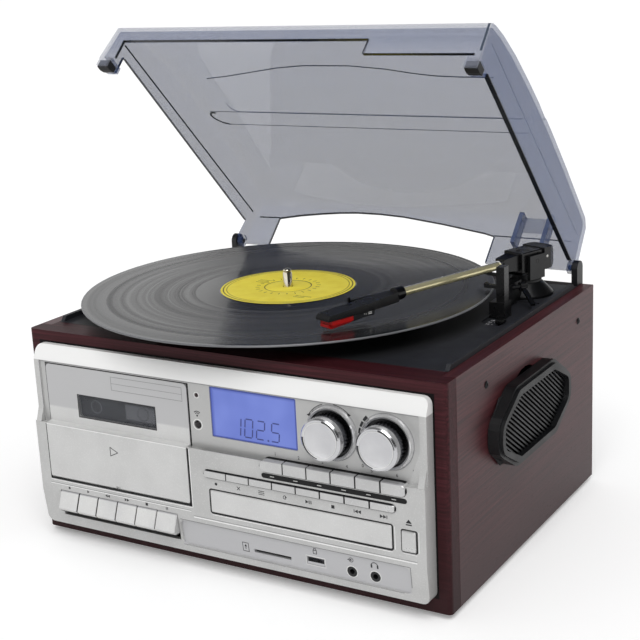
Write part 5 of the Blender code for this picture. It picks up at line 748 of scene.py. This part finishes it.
# painted highlights: bright lines where edges and bands catch the light
glint = skin("lacquer_glint", "f8f8f7", "efefee", 0.001, 0.000002, 0.3)[0]
print_on("band_glint", [bar(-147, 42.0, -22, 42.0, 0.5), bar(-20, 38.3, 149, 38.3, 0.8)], lower_face, glint)
print_on("door_glint", [bar(-20.2, 45.2, -20.2, 87.0, 0.5), bar(-146.2, 44.9, -20.6, 44.9, 0.4)], lower_face, glint)
print_on("tray_glint", [bar(-4.0, 42.9, 132.0, 42.9, 0.4), bar(134.0, 45.0, 134.0, 60.5, 0.4),
                        bar(139.5, 43.6, 149.0, 43.6, 0.35), bar(150.6, 45.6, 150.6, 59.5, 0.35)], lower_face, glint)
# painted shade lines beside the bright bands
print_on("band_shade_line", [bar(-147, 42.6, -22, 42.6, 0.3), bar(-20, 39.2, 149, 39.2, 0.3)], lower_face, shade_and_print)
print("shadow lines drawn")

# %% [markdown]
# Symbols stand where a real front has words: a dot to record, a triangle to play, bars to pause, and plain numbers over
# the source buttons. Screen ink is a few hundredths of a millimetre thick, matt, and dark grey rather than black.

# %% Printed symbols
screen_ink = skin("screen_ink", "27272a", "1c1c1f", 0.0005, 0.000002, 0.65)[0]
pale_ink = skin("pale_screen_ink", "d9d9d7", "cfcfcd", 0.0005, 0.000002, 0.6)[0]


def triangle(x, y, size, way=1):
    """A filled triangle that points along x."""
    half = way * size / 2
    return [(x - half, y - size * 0.55), (x + half, y), (x - half, y + size * 0.55)]


def symbol(kind, x, y, size):
    """The outlines of one control symbol."""
    half = size / 2
    shapes = {
        "record": [dot(x, y, half * 0.9)],
        "play": [triangle(x, y, size)],
        "back": [triangle(x - half, y, size, -1), triangle(x + half, y, size, -1)],
        "forward": [triangle(x - half, y, size), triangle(x + half, y, size)],
        "stop": [bar(x - half, y, x + half, y, size)],
        "pause": [bar(x - half * 0.6, y - half, x - half * 0.6, y + half, size * 0.28),
                  bar(x + half * 0.6, y - half, x + half * 0.6, y + half, size * 0.28)],
        "erase": [bar(x - half, y - half, x + half, y + half, size * 0.2),
                  bar(x - half, y + half, x + half, y - half, size * 0.2)],
        "list": [bar(x - size, y + level, x + size, y + level, size * 0.18) for level in (-half, 0.0, half)],
        "loop": [arc(x, y, half, size * 0.18, 40, 330), triangle(x + half * 0.9, y + half * 0.1, size * 0.6)],
        "open": [[(x - size * 0.8, y), (x + size * 0.8, y), (x, y + size)],
                 bar(x - size * 0.8, y - size * 0.4, x + size * 0.8, y - size * 0.4, size * 0.3)],
    }
    shapes["play_pause"] = [triangle(x - half, y, size)]
    shapes["play_pause"] += [[(a + half, b) for a, b in part] for part in shapes["pause"]]
    shapes["previous"] = shapes["back"] + [bar(x - size * 1.15, y - half, x - size * 1.15, y + half, size * 0.2)]
    shapes["next"] = shapes["forward"] + [bar(x + size * 1.15, y - half, x + size * 1.15, y + half, size * 0.2)]
    return shapes[kind]


def symbol_row(kinds, left, pitch, height, size):
    """One symbol in the middle of each button of a row."""
    return [part for number, kind in enumerate(kinds)
            for part in symbol(kind, left + pitch * (number + 0.5), height, size)]


kinds = ["record", "erase", "list", "loop", "play_pause", "stop", "previous", "next"]
outlines = symbol_row(kinds, TRANSPORT_LEFT, TRANSPORT_PITCH, 65.6, 2.3) + symbol("open", 143.9, 64.3, 2.6)
print_on("transport_symbols", outlines, lower_face, screen_ink)
key_kinds = ["record", "play", "back", "forward", "stop", "pause"]
print_on("key_symbols", symbol_row(key_kinds, KEYS_LEFT, KEYS_PITCH, 40.3, 2.0), lower_face, screen_ink)


def on_key(x, z, out):
    """The keys' faces lean out towards their lower edge."""
    share = (z - 22.2) / 15.15
    return Vector((x * MM, WOOD_FACE - 0.0185 + 0.0047 * share - out, FEET + z * MM))


key_ink = skin("key_ink", "a2a2a4", "97979a", 0.0005, 0.000002, 0.6)[0]
for number, kind in enumerate(key_kinds):
    key = "key_%d" % (number + 1)
    print_on(key + "_symbol", symbol(kind, KEYS_LEFT + KEYS_PITCH * (number + 0.5), 31.5, 3.0), on_key, key_ink, key)

SOURCE_MIDDLES = [FUNCTION_LEFT + FUNCTION_PITCH * (number + 0.5) for number in range(6)]
DIAL_FIGURE = 2.2
figures = [("source_%d" % number, str(number), (middle, 92.2)) for number, middle in enumerate(SOURCE_MIDDLES, 1)]
for name, words, middle in figures + [("volume_low", "0", (110.2, 94.6)), ("volume_high", "10", (146.2, 96.6))]:
    number_on(name, words, upper_face, DIAL_FIGURE, middle, screen_ink)
arrows = [arc(KNOBS["tuning"], KNOB_Z, 19.2, 0.45, start, end) for start, end in ((48, 84), (108, 146))]
arrows += [triangle(72.3, 123.0, 2.4, -1), triangle(102.0, 126.8, 2.4)]
print_on("tuning_arrows", arrows, upper_face, screen_ink)
steps = [arc(KNOBS["volume"], KNOB_Z, 19.8, 0.6 + 0.3 * step, 200 - 14 * step, 189 - 14 * step, 4, 0.9 + 0.3 * step)
         for step in range(5)]
trims = [half for x in KNOBS.values() for half in ring(x, KNOB_Z, 18.5, 0.4)]
print_on("trim_shade", trims, upper_face, shade_and_print)
print_on("volume_wedge", steps, upper_face, screen_ink)

door_upper, door_lower = on_front(0.0088), on_front(0.0141)
panel = frame_of(-86.5, 118.5, -26.0, 128.3, 0.28) + [bar(-86.5, 123.4, -26.0, 123.4, 0.22)]
print_on("door_panel_lines", panel, door_upper, shade_and_print, "tape_door")
play = [bar(-88.0, 71.6, -88.0, 78.4, 0.5), bar(-88.0, 78.2, -81.4, 75.0, 0.5), bar(-88.0, 71.8, -81.4, 75.0, 0.5)]
print_on("door_triangle", play, door_lower, screen_ink, "tape_door")
# painted highlight along the door's step
print_on("door_step_glint", [bar(-144.9, 87.7, -22.1, 87.7, 0.45)], on_front(0.01408), glint, "tape_door")
print("symbols printed")

# %% [markdown]
# The black strip under the source buttons is a thin gloss insert that lies in its own recess. Plain ticks mark the six
# sources where a real strip is lettered.

# %% The black strip
strip_face = on_front(LOWER_FACE - 0.0004)
left_end, right_end, strip_z, strip_half = 39.0, 141.4, 78.4, 1.65
outline = [(end + way * strip_half * math.sin(turn), strip_z + way * strip_half * math.cos(turn))
           for end, way in ((right_end, 1), (left_end, -1)) for turn in [math.pi * step / 8 for step in range(9)]]
gloss_black = skin("gloss_black_insert", "0d0d0f", "08080a", 0.002, 0.000004, 0.35, Specular_IOR_Level=0.3)[0]
print_on("source_strip", [outline], strip_face, gloss_black, proud=0.00045, sunk=0.0)
ticks = [bar(middle - 1.6, strip_z, middle + 1.6, strip_z, 0.45) for middle in SOURCE_MIDDLES]
print_on("source_strip_ticks", ticks, on_front(LOWER_FACE + 0.00004), pale_ink)
print("strip length:", right_end - left_end)

# %% [markdown]
# Small round parts, such as lamps and screws, are turned: a profile of radius and height goes round an axis.

# %% Lamp, sensor, screws and rings
def turned(name, base, axis, profile, made, body="cabinet", steps=32):
    """A profile of (radius, height) pairs in millimetres, turned about an axis through the base."""
    axis = Vector(axis).normalized()
    first = axis.orthogonal().normalized()
    second = axis.cross(first)
    turns = [math.tau * step / steps for step in range(steps)]
    loops = [[Vector(base) + axis * height * MM + (first * math.cos(turn) + second * math.sin(turn)) * radius * MM
              for turn in turns] for radius, height in profile]
    add_piece(name, joined(loops), made, body, smooth=True)


FRONT_WAY = (0.0, -1.0, 0.0)
bright_rim = skin("bright_rim", "f0f0ee", "e2e2e0", 0.001, 0.000002, 0.25)[0]
lamp_red = skin("lamp_lens", "3a1414", "220c0c", 0.0008, 0.000002, 0.1)[0]
sensor_lens = skin("sensor_lens", "1a1214", "0f0b0c", 0.0008, 0.000002, 0.08)[0]
turned("power_lamp", upper_face(-14.4, 124.4, -0.0010), FRONT_WAY,
       [(1.3, 0.0), (1.3, 0.5), (1.1, 1.1), (0.6, 1.5), (0.1, 1.6)], lamp_red)
turned("sensor_dome", upper_face(-14.9, 103.7, -0.0011), FRONT_WAY,
       [(2.7, 0.0), (2.7, 0.5), (2.2, 1.2), (1.2, 1.7), (0.1, 1.8)], sensor_lens)
print_on("lamp_rim", ring(-14.4, 124.4, 2.0, 0.5), upper_face, bright_rim)
print_on("sensor_rim", ring(-14.9, 103.7, 3.6, 0.6), upper_face, bright_rim)
waves = [dot(-14.9, 110.0, 0.7)] + [arc(-14.9, 110.0, radius, 0.55, 40, 140, 10) for radius in (1.9, 3.1)]
print_on("sensor_waves", waves, upper_face, screen_ink)
sunk_foot = on_foot(0.001)
LINE_IN_X, PHONES_X, JACK_Z = 100.8, 117.7, 21.9
card = frame_of(16.9, 19.6, 21.9, 26.4, 0.4)
card += [bar(19.4, 21.4, 19.4, 24.6, 0.5), [(18.4, 23.4), (20.4, 23.4), (19.4, 24.9)]]
plug = frame_of(72.6, 29.0, 75.4, 32.0, 0.4) + frame_of(73.2, 31.6, 74.8, 33.4, 0.35)
line_in = ring(LINE_IN_X, 30.4, 1.5, 0.4)
line_in += [bar(98.0, 30.4, 100.6, 30.4, 0.4), [(100.2, 29.6), (100.2, 31.2), (101.6, 30.4)]]
phones = [arc(PHONES_X, 29.6, 2.4, 0.5, 0, 180, 16)] + [bar(x, 28.0, x, 30.4, 1.1) for x in (115.5, 119.9)]
print_on("socket_symbols", card + plug + line_in + phones, sunk_foot, screen_ink)
rims = [half for x in (LINE_IN_X, PHONES_X) for half in ring(x, JACK_Z, 3.95, 0.55)]
rims += frame_of(66.6, 19.9, 81.4, 27.1, 0.4)
print_on("jack_rims", rims, sunk_foot, bright_rim)
screw_black = skin("blackened_screw", "2b2a2c", "1e1d1f", 0.0006, 0.000008, 0.4, Metallic=0.6)[0]
profile = [(2.5, 0.0), (2.5, 0.25), (2.1, 0.7), (1.1, 0.95), (0.9, 0.45), (0.1, 0.4)]
for side, way in (("left", -1.0), ("right", 1.0)):
    for number, (y, z) in enumerate(((57.2, 134.5), (221.7, 132.6)), 1):
        base = Vector((way * (SIDE_FACE - 0.00003), WOOD_FACE + y * MM, FEET + z * MM))
        turned("screw_%s_%d" % (side, number), base, (way, 0.0, 0.0), profile, screw_black)
print("side screws:", 4)

# %% [markdown]
# Light caught inside a sheet of smoked acrylic leaves only at its cut edges, so from the front they are almost black
# lines. Each rim gets a thin strip of painted shade that follows the real edge: the right rim, the front rims, the
# stepped notches and the left side's long leg here, and the arch over the record further down.

# %% Cut edges of the cover
LENGTH, HALF_WIDTH, TAPER, WALL = 0.2368, 0.1508, 0.067, 0.002


def half_at(v):
    """Half the cover's width at a height above its rim."""
    return HALF_WIDTH - TAPER * v


def cover_strip(name, places, across, normal, width, depth=0.00025, made=edge_shade_acrylic):
    """A flat strip along places given as x, u and v; it grows from the cover's surface along the normal."""
    loops = []
    for point in [on_cover(*place) for place in places]:
        first, second = point - across * width / 2, point + across * width / 2
        sunk, proud = normal * depth * 0.3, normal * depth
        loops.append([first - sunk, second - sunk, second + proud, first + proud])
    add_piece(name, joined(loops), made, "dust_cover")


middle_right, middle_left = half_at(0.0) - WALL / 2, -half_at(0.016) + WALL / 2
front_u = LENGTH - WALL / 2
cover_strip("rim_right", ((middle_right, 0.010, 0.0), (middle_right, 0.2215, 0.0)), X_WAY, -V_WAY, 0.0034, 0.0006)
for name, start, end, across, normal in (
    ("rim_front_right", (0.0672, front_u, 0.0036), (0.1462, front_u, 0.0036), U_WAY, -V_WAY),
    ("rim_front_notch", (-0.1363, front_u, 0.016), (0.0663, front_u, 0.016), U_WAY, -V_WAY),
    ("rim_notch_step", (0.0666, front_u, 0.0038), (0.0666, front_u, 0.016), U_WAY, -X_WAY),
    ("rim_notch_left", (-0.1364, front_u, 0.0005), (-0.1364, front_u, 0.0158), U_WAY, X_WAY),
    ("rim_left_leg", (middle_left, 0.0075, 0.016), (middle_left, 0.2165, 0.016), X_WAY, -V_WAY),
    ("rim_left_front", (middle_left, 0.2180, 0.0010), (middle_left, 0.2180, 0.0158), X_WAY, -U_WAY),
):
    cover_strip(name, (start, end), across, normal, 0.0020)
print("front rim at u =", front_u)

# %% [markdown]
# The top is moulded with a long raised line for a hand to find and a faint dome over the record. Both are drawn as
# thin strips of painted shade, darker lines in the sheet where the wall is seen at a slant; so are the hook, the
# creases along the sides and the front right corner.

# %% Moulded lines in the cover
TOP_HEIGHT = 0.048
TOP_SHARES = [(0.960, 0.710), (0.900, 0.795), (0.800, 0.885), (0.675, 0.945), (0.550, 0.985), (0.430, 1.0),
              (0.250, 0.990), (0.100, 0.960), (0.0, 0.935)]


def top_at(u):
    """Height of the cover's outer top above its rim, u from the hinge."""
    share = u / LENGTH
    for (far, high), (near, low) in zip(TOP_SHARES, TOP_SHARES[1:]):
        if share >= near:
            return TOP_HEIGHT * (low + (high - low) * (share - near) / (far - near))
    return TOP_HEIGHT * TOP_SHARES[-1][1]


# painted shade: the dark strips for the moulded lines, the creases and the hook
crease = skin("acrylic_crease_shade", "525c6c", "454e5c", 0.002, 0.000002, 0.3)[0]
hook_shade = skin("hook_shade_mark", "23262c", "17191d", 0.002, 0.000002, 0.3)[0]


def under_top(places):
    """Places given as x and u on the inside of the cover's top."""
    return [(x, u, top_at(u) - WALL) for x, u in places]


for number, (start, u) in enumerate(((-0.1270, 0.1020), (-0.1385, 0.1185)), 1):
    cover_strip("moulded_line_%d" % number, under_top([(start, u), (0.1300, u)]), U_WAY, -V_WAY, 0.0006, 0.0001, crease)
HOOK = ((-0.1335, 0.1165), (-0.1362, 0.1170), (-0.1385, 0.1160), (-0.1396, 0.1135), (-0.1390, 0.1105),
        (-0.1368, 0.1070), (-0.1330, 0.1040), (-0.1270, 0.1020))
for number, across in enumerate((X_WAY, U_WAY), 1):
    cover_strip("moulded_hook_%d" % number, under_top(HOOK), across, -V_WAY, 0.0017, 0.0004 - 0.0001 * number,
                hook_shade)
DOME = ((-0.116, 0.1620), (-0.095, 0.1655), (-0.072, 0.1705), (-0.045, 0.1765), (-0.020, 0.1797), (0.018, 0.1797),
        (0.045, 0.1760), (0.065, 0.1710), (0.082, 0.1680), (0.100, 0.1670), (0.125, 0.1668))
cover_strip("dome_line", under_top(DOME), U_WAY, -V_WAY, 0.0011, 0.0001, crease)
for way, name, width, made in ((-1.0, "left", 0.0013, edge_shade_acrylic), (1.0, "right", 0.0006, crease)):
    inside = [(way * (half_at(v) - WALL + 0.00002), u, v) for u, v in ((0.004, 0.0270), (0.223, 0.0232))]
    cover_strip("side_crease_" + name, inside, V_WAY, -X_WAY * way, width, 0.0001, made)
FRONT_LEAN = 0.0478
corner = [(half_at(v) - 0.0009, LENGTH - FRONT_LEAN * v + 0.00005, v) for v in (0.0060, 0.0290)]
cover_strip("corner_right", corner, X_WAY, U_WAY, 0.0016, 0.0001, crease)
print("top of the cover at the crown:", top_at(0.43 * LENGTH))

# %% [markdown]
# The arch over the record follows ten measured shares of its width and height, with a strip of painted shade on its
# cut edge and on the creases of the back wall. The fork that holds the arm when the cover is shut has two ribs,
# painted a denser, paler blue as painted light for the light that runs along them, and the corner bumpers are black
# rubber.

# %% Arch, fork and bumpers
ARCH_LEFT, ARCH_RIGHT, ARCH_CROWN, TAIL = -0.1240, 0.0770, 0.0390, 0.0060
ARCH_SHARES = [(0.000, 0.718), (0.095, 0.826), (0.194, 0.908), (0.279, 0.964), (0.363, 0.997), (0.468, 1.000),
               (0.577, 0.972), (0.766, 0.854), (0.955, 0.703), (1.000, 0.646)]
back_u, back_inside = -TAIL + WALL / 2, -TAIL + WALL + 0.00002
arch_places = [(ARCH_LEFT + (ARCH_RIGHT - ARCH_LEFT) * across, back_u, ARCH_CROWN * up) for across, up in ARCH_SHARES]
cover_strip("rim_arch", arch_places, U_WAY, -V_WAY, 0.0020, 0.0003)
left_foot, right_foot = ARCH_CROWN * ARCH_SHARES[0][1], ARCH_CROWN * ARCH_SHARES[-1][1]
for name, x, foot, normal in (("right", ARCH_RIGHT, right_foot, -X_WAY), ("left", ARCH_LEFT, left_foot, X_WAY)):
    cover_strip("rim_arch_" + name, ((x, back_u, 0.0005), (x, back_u, foot)), U_WAY, normal, 0.0020, 0.0002)


def cover_block(name, outline, x_low, x_high, made):
    """An outline of (u, v) places carried from one x to another."""
    loops = [[on_cover(x, u, v) for u, v in outline] for x in (x_low, x_high)]
    add_piece(name, joined(loops), made, "dust_cover")


# painted light: the ribs are paler and denser than the sheet for the light that runs along them
rib_lit_acrylic = skin("acrylic_rib_lit", "8798c2", "7687b3", 0.002, 0.000003, 0.12, Alpha=0.6)[0]
rib_outline = [(-0.0040, 0.0149), (0.0056, 0.0149), (0.0056, 0.0420), (0.0046, 0.0431), (-0.0040, 0.0431)]
for number, x in enumerate((0.0965, 0.1203), 1):
    cover_block("fork_rib_%d" % number, rib_outline, x - 0.0001, x + 0.0033, rib_lit_acrylic)
bridge_acrylic = skin("acrylic_bridge", "a9b6d4", "9aa8c9", 0.002, 0.000003, 0.1, Alpha=0.3)[0]
bridge_outline = [(-0.0040, 0.0300), (-0.0028, 0.0300), (-0.0028, 0.0431), (-0.0040, 0.0431)]
cover_block("fork_bridge", bridge_outline, 0.0998, 0.1202, bridge_acrylic)
for name, (x0, v0), (x1, v1), width in (
    ("right", (ARCH_RIGHT, right_foot), (0.1405, right_foot), 0.0009),
    ("left", (-0.1440, 0.0272), (ARCH_LEFT, left_foot), 0.0011),
):
    cover_strip("back_crease_" + name, ((x0, back_inside, v0), (x1, back_inside, v1)), V_WAY, U_WAY, width, 0.0001)
bumper_rubber = skin("bumper_rubber", "1a1a1c", "111113", 0.0005, 0.00001, 0.6)[0]
bumper = [(0.2346, -0.0008), (0.2346, -0.0067), (0.2304, -0.0068), (0.2262, -0.0053), (0.2262, -0.0008)]
for way, name in ((-1.0, "left"), (1.0, "right")):
    cover_block("bumper_cap_" + name, bumper, way * 0.14145, way * 0.1507, bumper_rubber)
print("arch crown:", ARCH_CROWN)

# %% [markdown]
# The display shows plain seven-segment figures, a shade darker than the glowing ground. Each figure leans a little, as
# they do on such glass. Behind the door's window lies the dark inside of the tape bay with two hubs.

# %% Display figures and the tape bay
SEGMENTS = {"0": "abcdef", "1": "bc", "2": "abged", "5": "afgcd"}
FIGURE_LEAN = 0.1


def figure(digit, x, z, width, height, stroke):
    """The lit bars of one seven-segment figure."""
    half, gap = height / 2, stroke * 0.6
    ends = {
        "a": (gap, height, width - gap, height), "d": (gap, 0, width - gap, 0), "g": (gap, half, width - gap, half),
        "f": (0, half + gap, 0, height - gap), "b": (width, half + gap, width, height - gap),
        "e": (0, gap, 0, half - gap), "c": (width, gap, width, half - gap),
    }
    return [bar(x + x0 + FIGURE_LEAN * z0, z + z0, x + x1 + FIGURE_LEAN * z1, z + z1, stroke)
            for x0, z0, x1, z1 in (ends[name] for name in SEGMENTS[digit])]


segment_ink = skin("display_segment", "3d478a", "363f7e", 0.0006, 0.000002, 0.3)[0]
glass_face = on_front(0.0079)
FIGURE_FOOT = 100.4
outlines = []
for digit, x in (("1", 13.0), ("0", 22.2), ("2", 31.4), ("5", 42.8)):
    outlines += figure(digit, x, FIGURE_FOOT, 6.0, 12.6, 0.85)
outlines.append(dot(40.6, FIGURE_FOOT, 0.7))
print_on("display_figures", outlines, glass_face, segment_ink)
inside_frame = skin("display_border", "4a5aa8", "4252a0", 0.001, 0.000002, 0.4)[0]
print_on("display_border", frame_of(-3.1, 97.5, 62.6, 131.6, 0.6), glass_face, inside_frame)

bay, shader, point = skin("tape_bay", "33343b", "26272d", 0.002, 0.00001, 0.5)
cover(shader, within(point, 0.0006, x=(-0.0780, -0.0525), z=(FEET + 0.0975, FEET + 0.1085)), "8b8c92")
back_of_window = WOOD_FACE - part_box("cassette_window")[1].y
bay_face = on_front(back_of_window - 0.0009)
outline = [(-117.0, 95.6), (-50.6, 95.6), (-50.6, 110.4), (-117.0, 110.4)]
print_on("tape_bay", [outline], bay_face, bay, "tape_door", 0.0002, 0.0002)
hub_grey = skin("hub_grey", "77787e", "696a70", 0.001, 0.000005, 0.45)[0]
hubs = ring(-104.0, 103.0, 4.6, 1.0) + ring(-63.0, 103.0, 4.6, 1.0)
print_on("tape_hubs", hubs, on_front(back_of_window - 0.0007), hub_grey, "tape_door", 0.0002, 0.0)
window_edge = skin("window_edge", "2a2b2f", "1f2023", 0.001, 0.000004, 0.4)[0]
print_on("window_edge", frame_of(-118.2, 94.4, -49.4, 111.6, 0.8), on_front(0.0088), window_edge, "tape_door")
print("window back at", round(back_of_window, 4))

# %% [markdown]
# Each knob's cap ends in a polished bevel that mirrors the dark room in broken arcs, so the cap gets two thin dark arcs
# of painted reflection and a bright ring of painted highlight.

# %% Arcs on the knobs
cap_dark_reflection = skin("cap_dark_reflection", "2c2c2f", "202023", 0.001, 0.000002, 0.3)[0]
cap = on_front(0.0231)
# painted reflection and painted highlight: dark arcs and a bright ring on each cap
for name, x in KNOBS.items():
    arcs = [arc(x, KNOB_Z, 12.6, 0.5, 8, 82, 16, 1.1), arc(x, KNOB_Z, 12.6, 1.2, 176, 258, 20, 0.6)]
    print_on("cap_arcs_" + name, arcs, cap, cap_dark_reflection, name)
    print_on("cap_ring_" + name, ring(x, KNOB_Z, 11.7, 0.3), cap, bright_rim, name)
print("arcs on each knob:", len(arcs))

# %% [markdown]
# A black woven cloth lies behind each grille's slats. Its threads are half a millimetre apart and drawn at one
# millimetre: two waves at right angles lift the weave, and the holes between the threads stay nearly black.

# %% Speaker cloth
THREAD = 0.001
cloth, shader, point = skin("speaker_cloth", "1d1d1f", "131315", 0.0006, 0.00002, 0.95)
turns = node(point.id_data, "VectorMath", {0: point, "Scale": math.tau / THREAD}, operation="SCALE").outputs[0]
split = node(point.id_data, "SeparateXYZ", {0: turns}).outputs
cover(shader, fade(calc("MULTIPLY", calc("SINE", split[1]), calc("SINE", split[2])), 0.0, 0.8), "313134")
GRILLE_Y, GRILLE_Z = WOOD_FACE + 0.1205, FEET + 0.0970
outline = [(58, -12), (46, -23.5), (-46, -23.5), (-58, -12), (-58, 12), (-46, 23.5), (46, 23.5), (58, 12)]
for side, way in (("left", -1.0), ("right", 1.0)):
    loops = [[(way * (SIDE_FACE + proud), GRILLE_Y + y * MM, GRILLE_Z + z * MM) for y, z in outline]
             for proud in (0.0010, 0.0014)]
    add_piece("speaker_cloth_" + side, joined(loops), cloth)
print("cloths:", 2)

# %% [markdown]
# The arm's small marks give it scale: a pale pin in the weight's side, two bright sleeves round the arm, seams in the
# pivot block and four light bars on the head. The speeds are plain numbers beside the switch.

# %% Marks on the arm and the deck
turned("spindle_dome", Vector((CENTRE[0], CENTRE[1], 0.18295)), (0.0, 0.0, 1.0),
       [(3.0, 0.0), (2.95, 0.35), (2.5, 1.0), (1.6, 1.45), (0.2, 1.65)], spindle_steel, steps=24)
pin_pale = skin("nylon_pin", "e8e6e0", "dad8d2", 0.0006, 0.000002, 0.4)[0]
turned("weight_pin", on_arm(-0.0125, 0.01045, 0.0012), ARM_RIGHT, [(1.0, 0.0), (1.0, 0.25), (0.7, 0.45), (0.1, 0.5)],
       pin_pale, "arm", 16)


def arm_side(x, z, out):
    """The right side of the head: millimetres along the arm and above its middle."""
    return on_arm(x * MM, 0.00585 + out, z * MM)


bars = [bar(158.5, level, 161.5, level, 0.55) for level in (-5.4, -6.4)]
bars += [bar(163.5, -5.6, 163.5, -6.4, 0.5), bar(165.0, -5.3, 165.0, -6.1, 0.5)]
print_on("head_bars", bars, arm_side, pale_ink, "arm")
clip_steel = skin("clip_steel", "d4d5d8", "bfc0c4", 0.0008, 0.000003, 0.22, Metallic=1.0)[0]


def band_on_arm(name, start, end, radius, made):
    """A thin sleeve round the arm."""
    length = (end - start) / MM
    profile = [(radius - 0.3, 0.0), (radius, 0.1), (radius, length - 0.1), (radius - 0.3, length)]
    turned(name, on_arm(start, 0.0, 0.0), ARM_ALONG, profile, made, "arm", 24)


band_on_arm("tube_collar", 0.0268, 0.0292, 3.6, clip_steel)
band_on_arm("head_collar_ring", 0.1248, 0.1262, 3.7, clip_steel)
dark_seam = skin("seam_black", "0c0c0d", "070708", 0.001, 0.000002, 0.6)[0]


def on_block_top(x, y, out):
    """The pivot block's upper face: millimetres along and across the arm."""
    return on_arm(x * MM, y * MM, 0.0072 + out)


seams = [bar(along, -8.0, along, 8.0, 0.5) for along in (2.0, -9.6)]
print_on("block_seams", seams, on_block_top, dark_seam, "arm")
turned("block_screw", on_arm(0.0075, 0.0, 0.0071), (0.0, 0.0, 1.0), [(1.7, 0.0), (1.7, 0.2), (1.3, 0.5), (0.2, 0.3)],
       screw_black, "arm", 20)


def on_deck(x, y, out):
    """The sunk part of the deck beside the arm."""
    return Vector((x * MM, y * MM, DECK_TOP - 0.0012 + out))


deck_ink = skin("deck_ink", "b9b9bb", "adadaf", 0.0005, 0.000002, 0.6)[0]
ticks = []
for number, words in enumerate(("33", "45", "78")):
    y = 3.4 + 4.6 * number
    number_on("speed_" + words, words, on_deck, 2.2, (133.2, y), deck_ink)
    ticks.append(bar(136.0, y, 137.2, y, 0.4))
print_on("speed_ticks", ticks, on_deck, deck_ink)
print("numbers by the switch:", 3)

# %% [markdown]
# The back is plain: vents, two line sockets with white and red rings, and round-headed screws along the edge.

# %% The back
ring_white = skin("ring_white", "e4e4e2", "d8d8d6", 0.0006, 0.000002, 0.4)[0]
ring_red = skin("ring_red", "b3262a", "9c1f23", 0.0006, 0.000002, 0.4)[0]


def on_back(x, z, out):
    """The back panel's outer face."""
    return Vector((x * MM, BACK_FACE + out, z * MM))


for name, x, made in (("white", -30.0, ring_white), ("red", -16.0, ring_red)):
    print_on("socket_ring_" + name, ring(x, 39.0, 5.1, 1.3), on_back, made, proud=0.0003)
places = [(x, z) for x in (-157, -60, 60, 157) for z in (14, 148)]
profile = [(2.6, 0.0), (2.5, 0.4), (1.8, 1.0), (0.9, 1.2), (0.7, 0.7), (0.1, 0.7)]
for number, (x, z) in enumerate(places, 1):
    turned("back_screw_%d" % number, on_back(x, z, -0.00003), (0.0, 1.0, 0.0), profile, screw_black,
           steps=20)
print("back screws:", len(places))

# %% [markdown]
# A plain pale floor carries the object's shadow, and one broad sun with an even sky lights it like a tent of white
# cloth. To the camera and to clear plastic the sky is plain white. Mirrors see it white near the horizon and dark
# overhead, as under a studio's ceiling, and it lights matt surfaces less strongly. Behind the object the white ends at
# the edge of a card, so the record mirrors white on its left and the dark room on its right; two planes through the
# camera give the card's side edge and lower edge.

# %% Floor, sky and sun
shape = bmesh.new()
bmesh.ops.create_grid(shape, x_segments=1, y_segments=1, size=20.0)
floor_mesh = bpy.data.meshes.new("floor")
shape.to_mesh(floor_mesh)
shape.free()
floor = bpy.data.objects.new("floor", floor_mesh)
scene.collection.objects.link(floor)
floor_paper, shader, point = skin("studio_paper", "f8f8f8", "f5f5f5", 0.002, 0.00001, 0.9, 0.02, 0.2,
                                  Emission_Color=(1.0, 1.0, 1.0, 1.0))
FLOOR_GLOW, SKY_ON_MATT, DARK_ROOM = 0.22, 0.52, 0.05
seen_by_camera = node(shader.id_data, "LightPath").outputs["Is Camera Ray"]
feed(shader, Emission_Strength=calc("MULTIPLY", seen_by_camera, FLOOR_GLOW))
floor_mesh.materials.append(floor_paper)

world = bpy.data.worlds.new("sky")
scene.world = world
world.use_nodes = True
tree = world.node_tree
tree.nodes.clear()
path = node(tree, "LightPath").outputs
seen = calc("MAXIMUM", path["Is Camera Ray"], path["Is Transmission Ray"])
matt = node(tree, "Mix", {0: seen, 2: SKY_ON_MATT, 3: 1.0}).outputs[0]
CARD_SIDE, CARD_FOOT = (0.8005, 0.4443, 0.4022), (0.0188, -0.2562, 0.9664)
way = node(tree, "TexCoord").outputs["Generated"]
overhead = fade(node(tree, "SeparateXYZ", {0: way}).outputs[2], 0.32, 0.62, 1.0, 0.2)
past_side = fade(vector("DOT_PRODUCT", way, CARD_SIDE, out="Value"), -0.004, 0.004)
past_foot = fade(vector("DOT_PRODUCT", way, CARD_FOOT, out="Value"), -0.003, 0.005)
beside_card = fade(calc("MULTIPLY", past_side, past_foot), 0.0, 1.0, 1.0, DARK_ROOM)
mirrored = calc("MULTIPLY", overhead, beside_card)
strength = node(tree, "Mix", {0: path["Is Glossy Ray"], 2: matt, 3: mirrored}).outputs[0]
sky = node(tree, "Background", {"Color": (1.0, 1.0, 1.0, 1.0), "Strength": strength})
node(tree, "OutputWorld", {"Surface": sky.outputs[0]})

lamp = bpy.data.lights.new("key", "SUN")
lamp.energy = 1.5
lamp.angle = math.radians(40)
sun = bpy.data.objects.new("key", lamp)
scene.collection.objects.link(sun)
sun.rotation_euler = Vector((0.35, -0.6, 1.0)).to_track_quat("Z", "Y").to_euler()
scene.view_settings.view_transform = "Standard"
print("light ready")
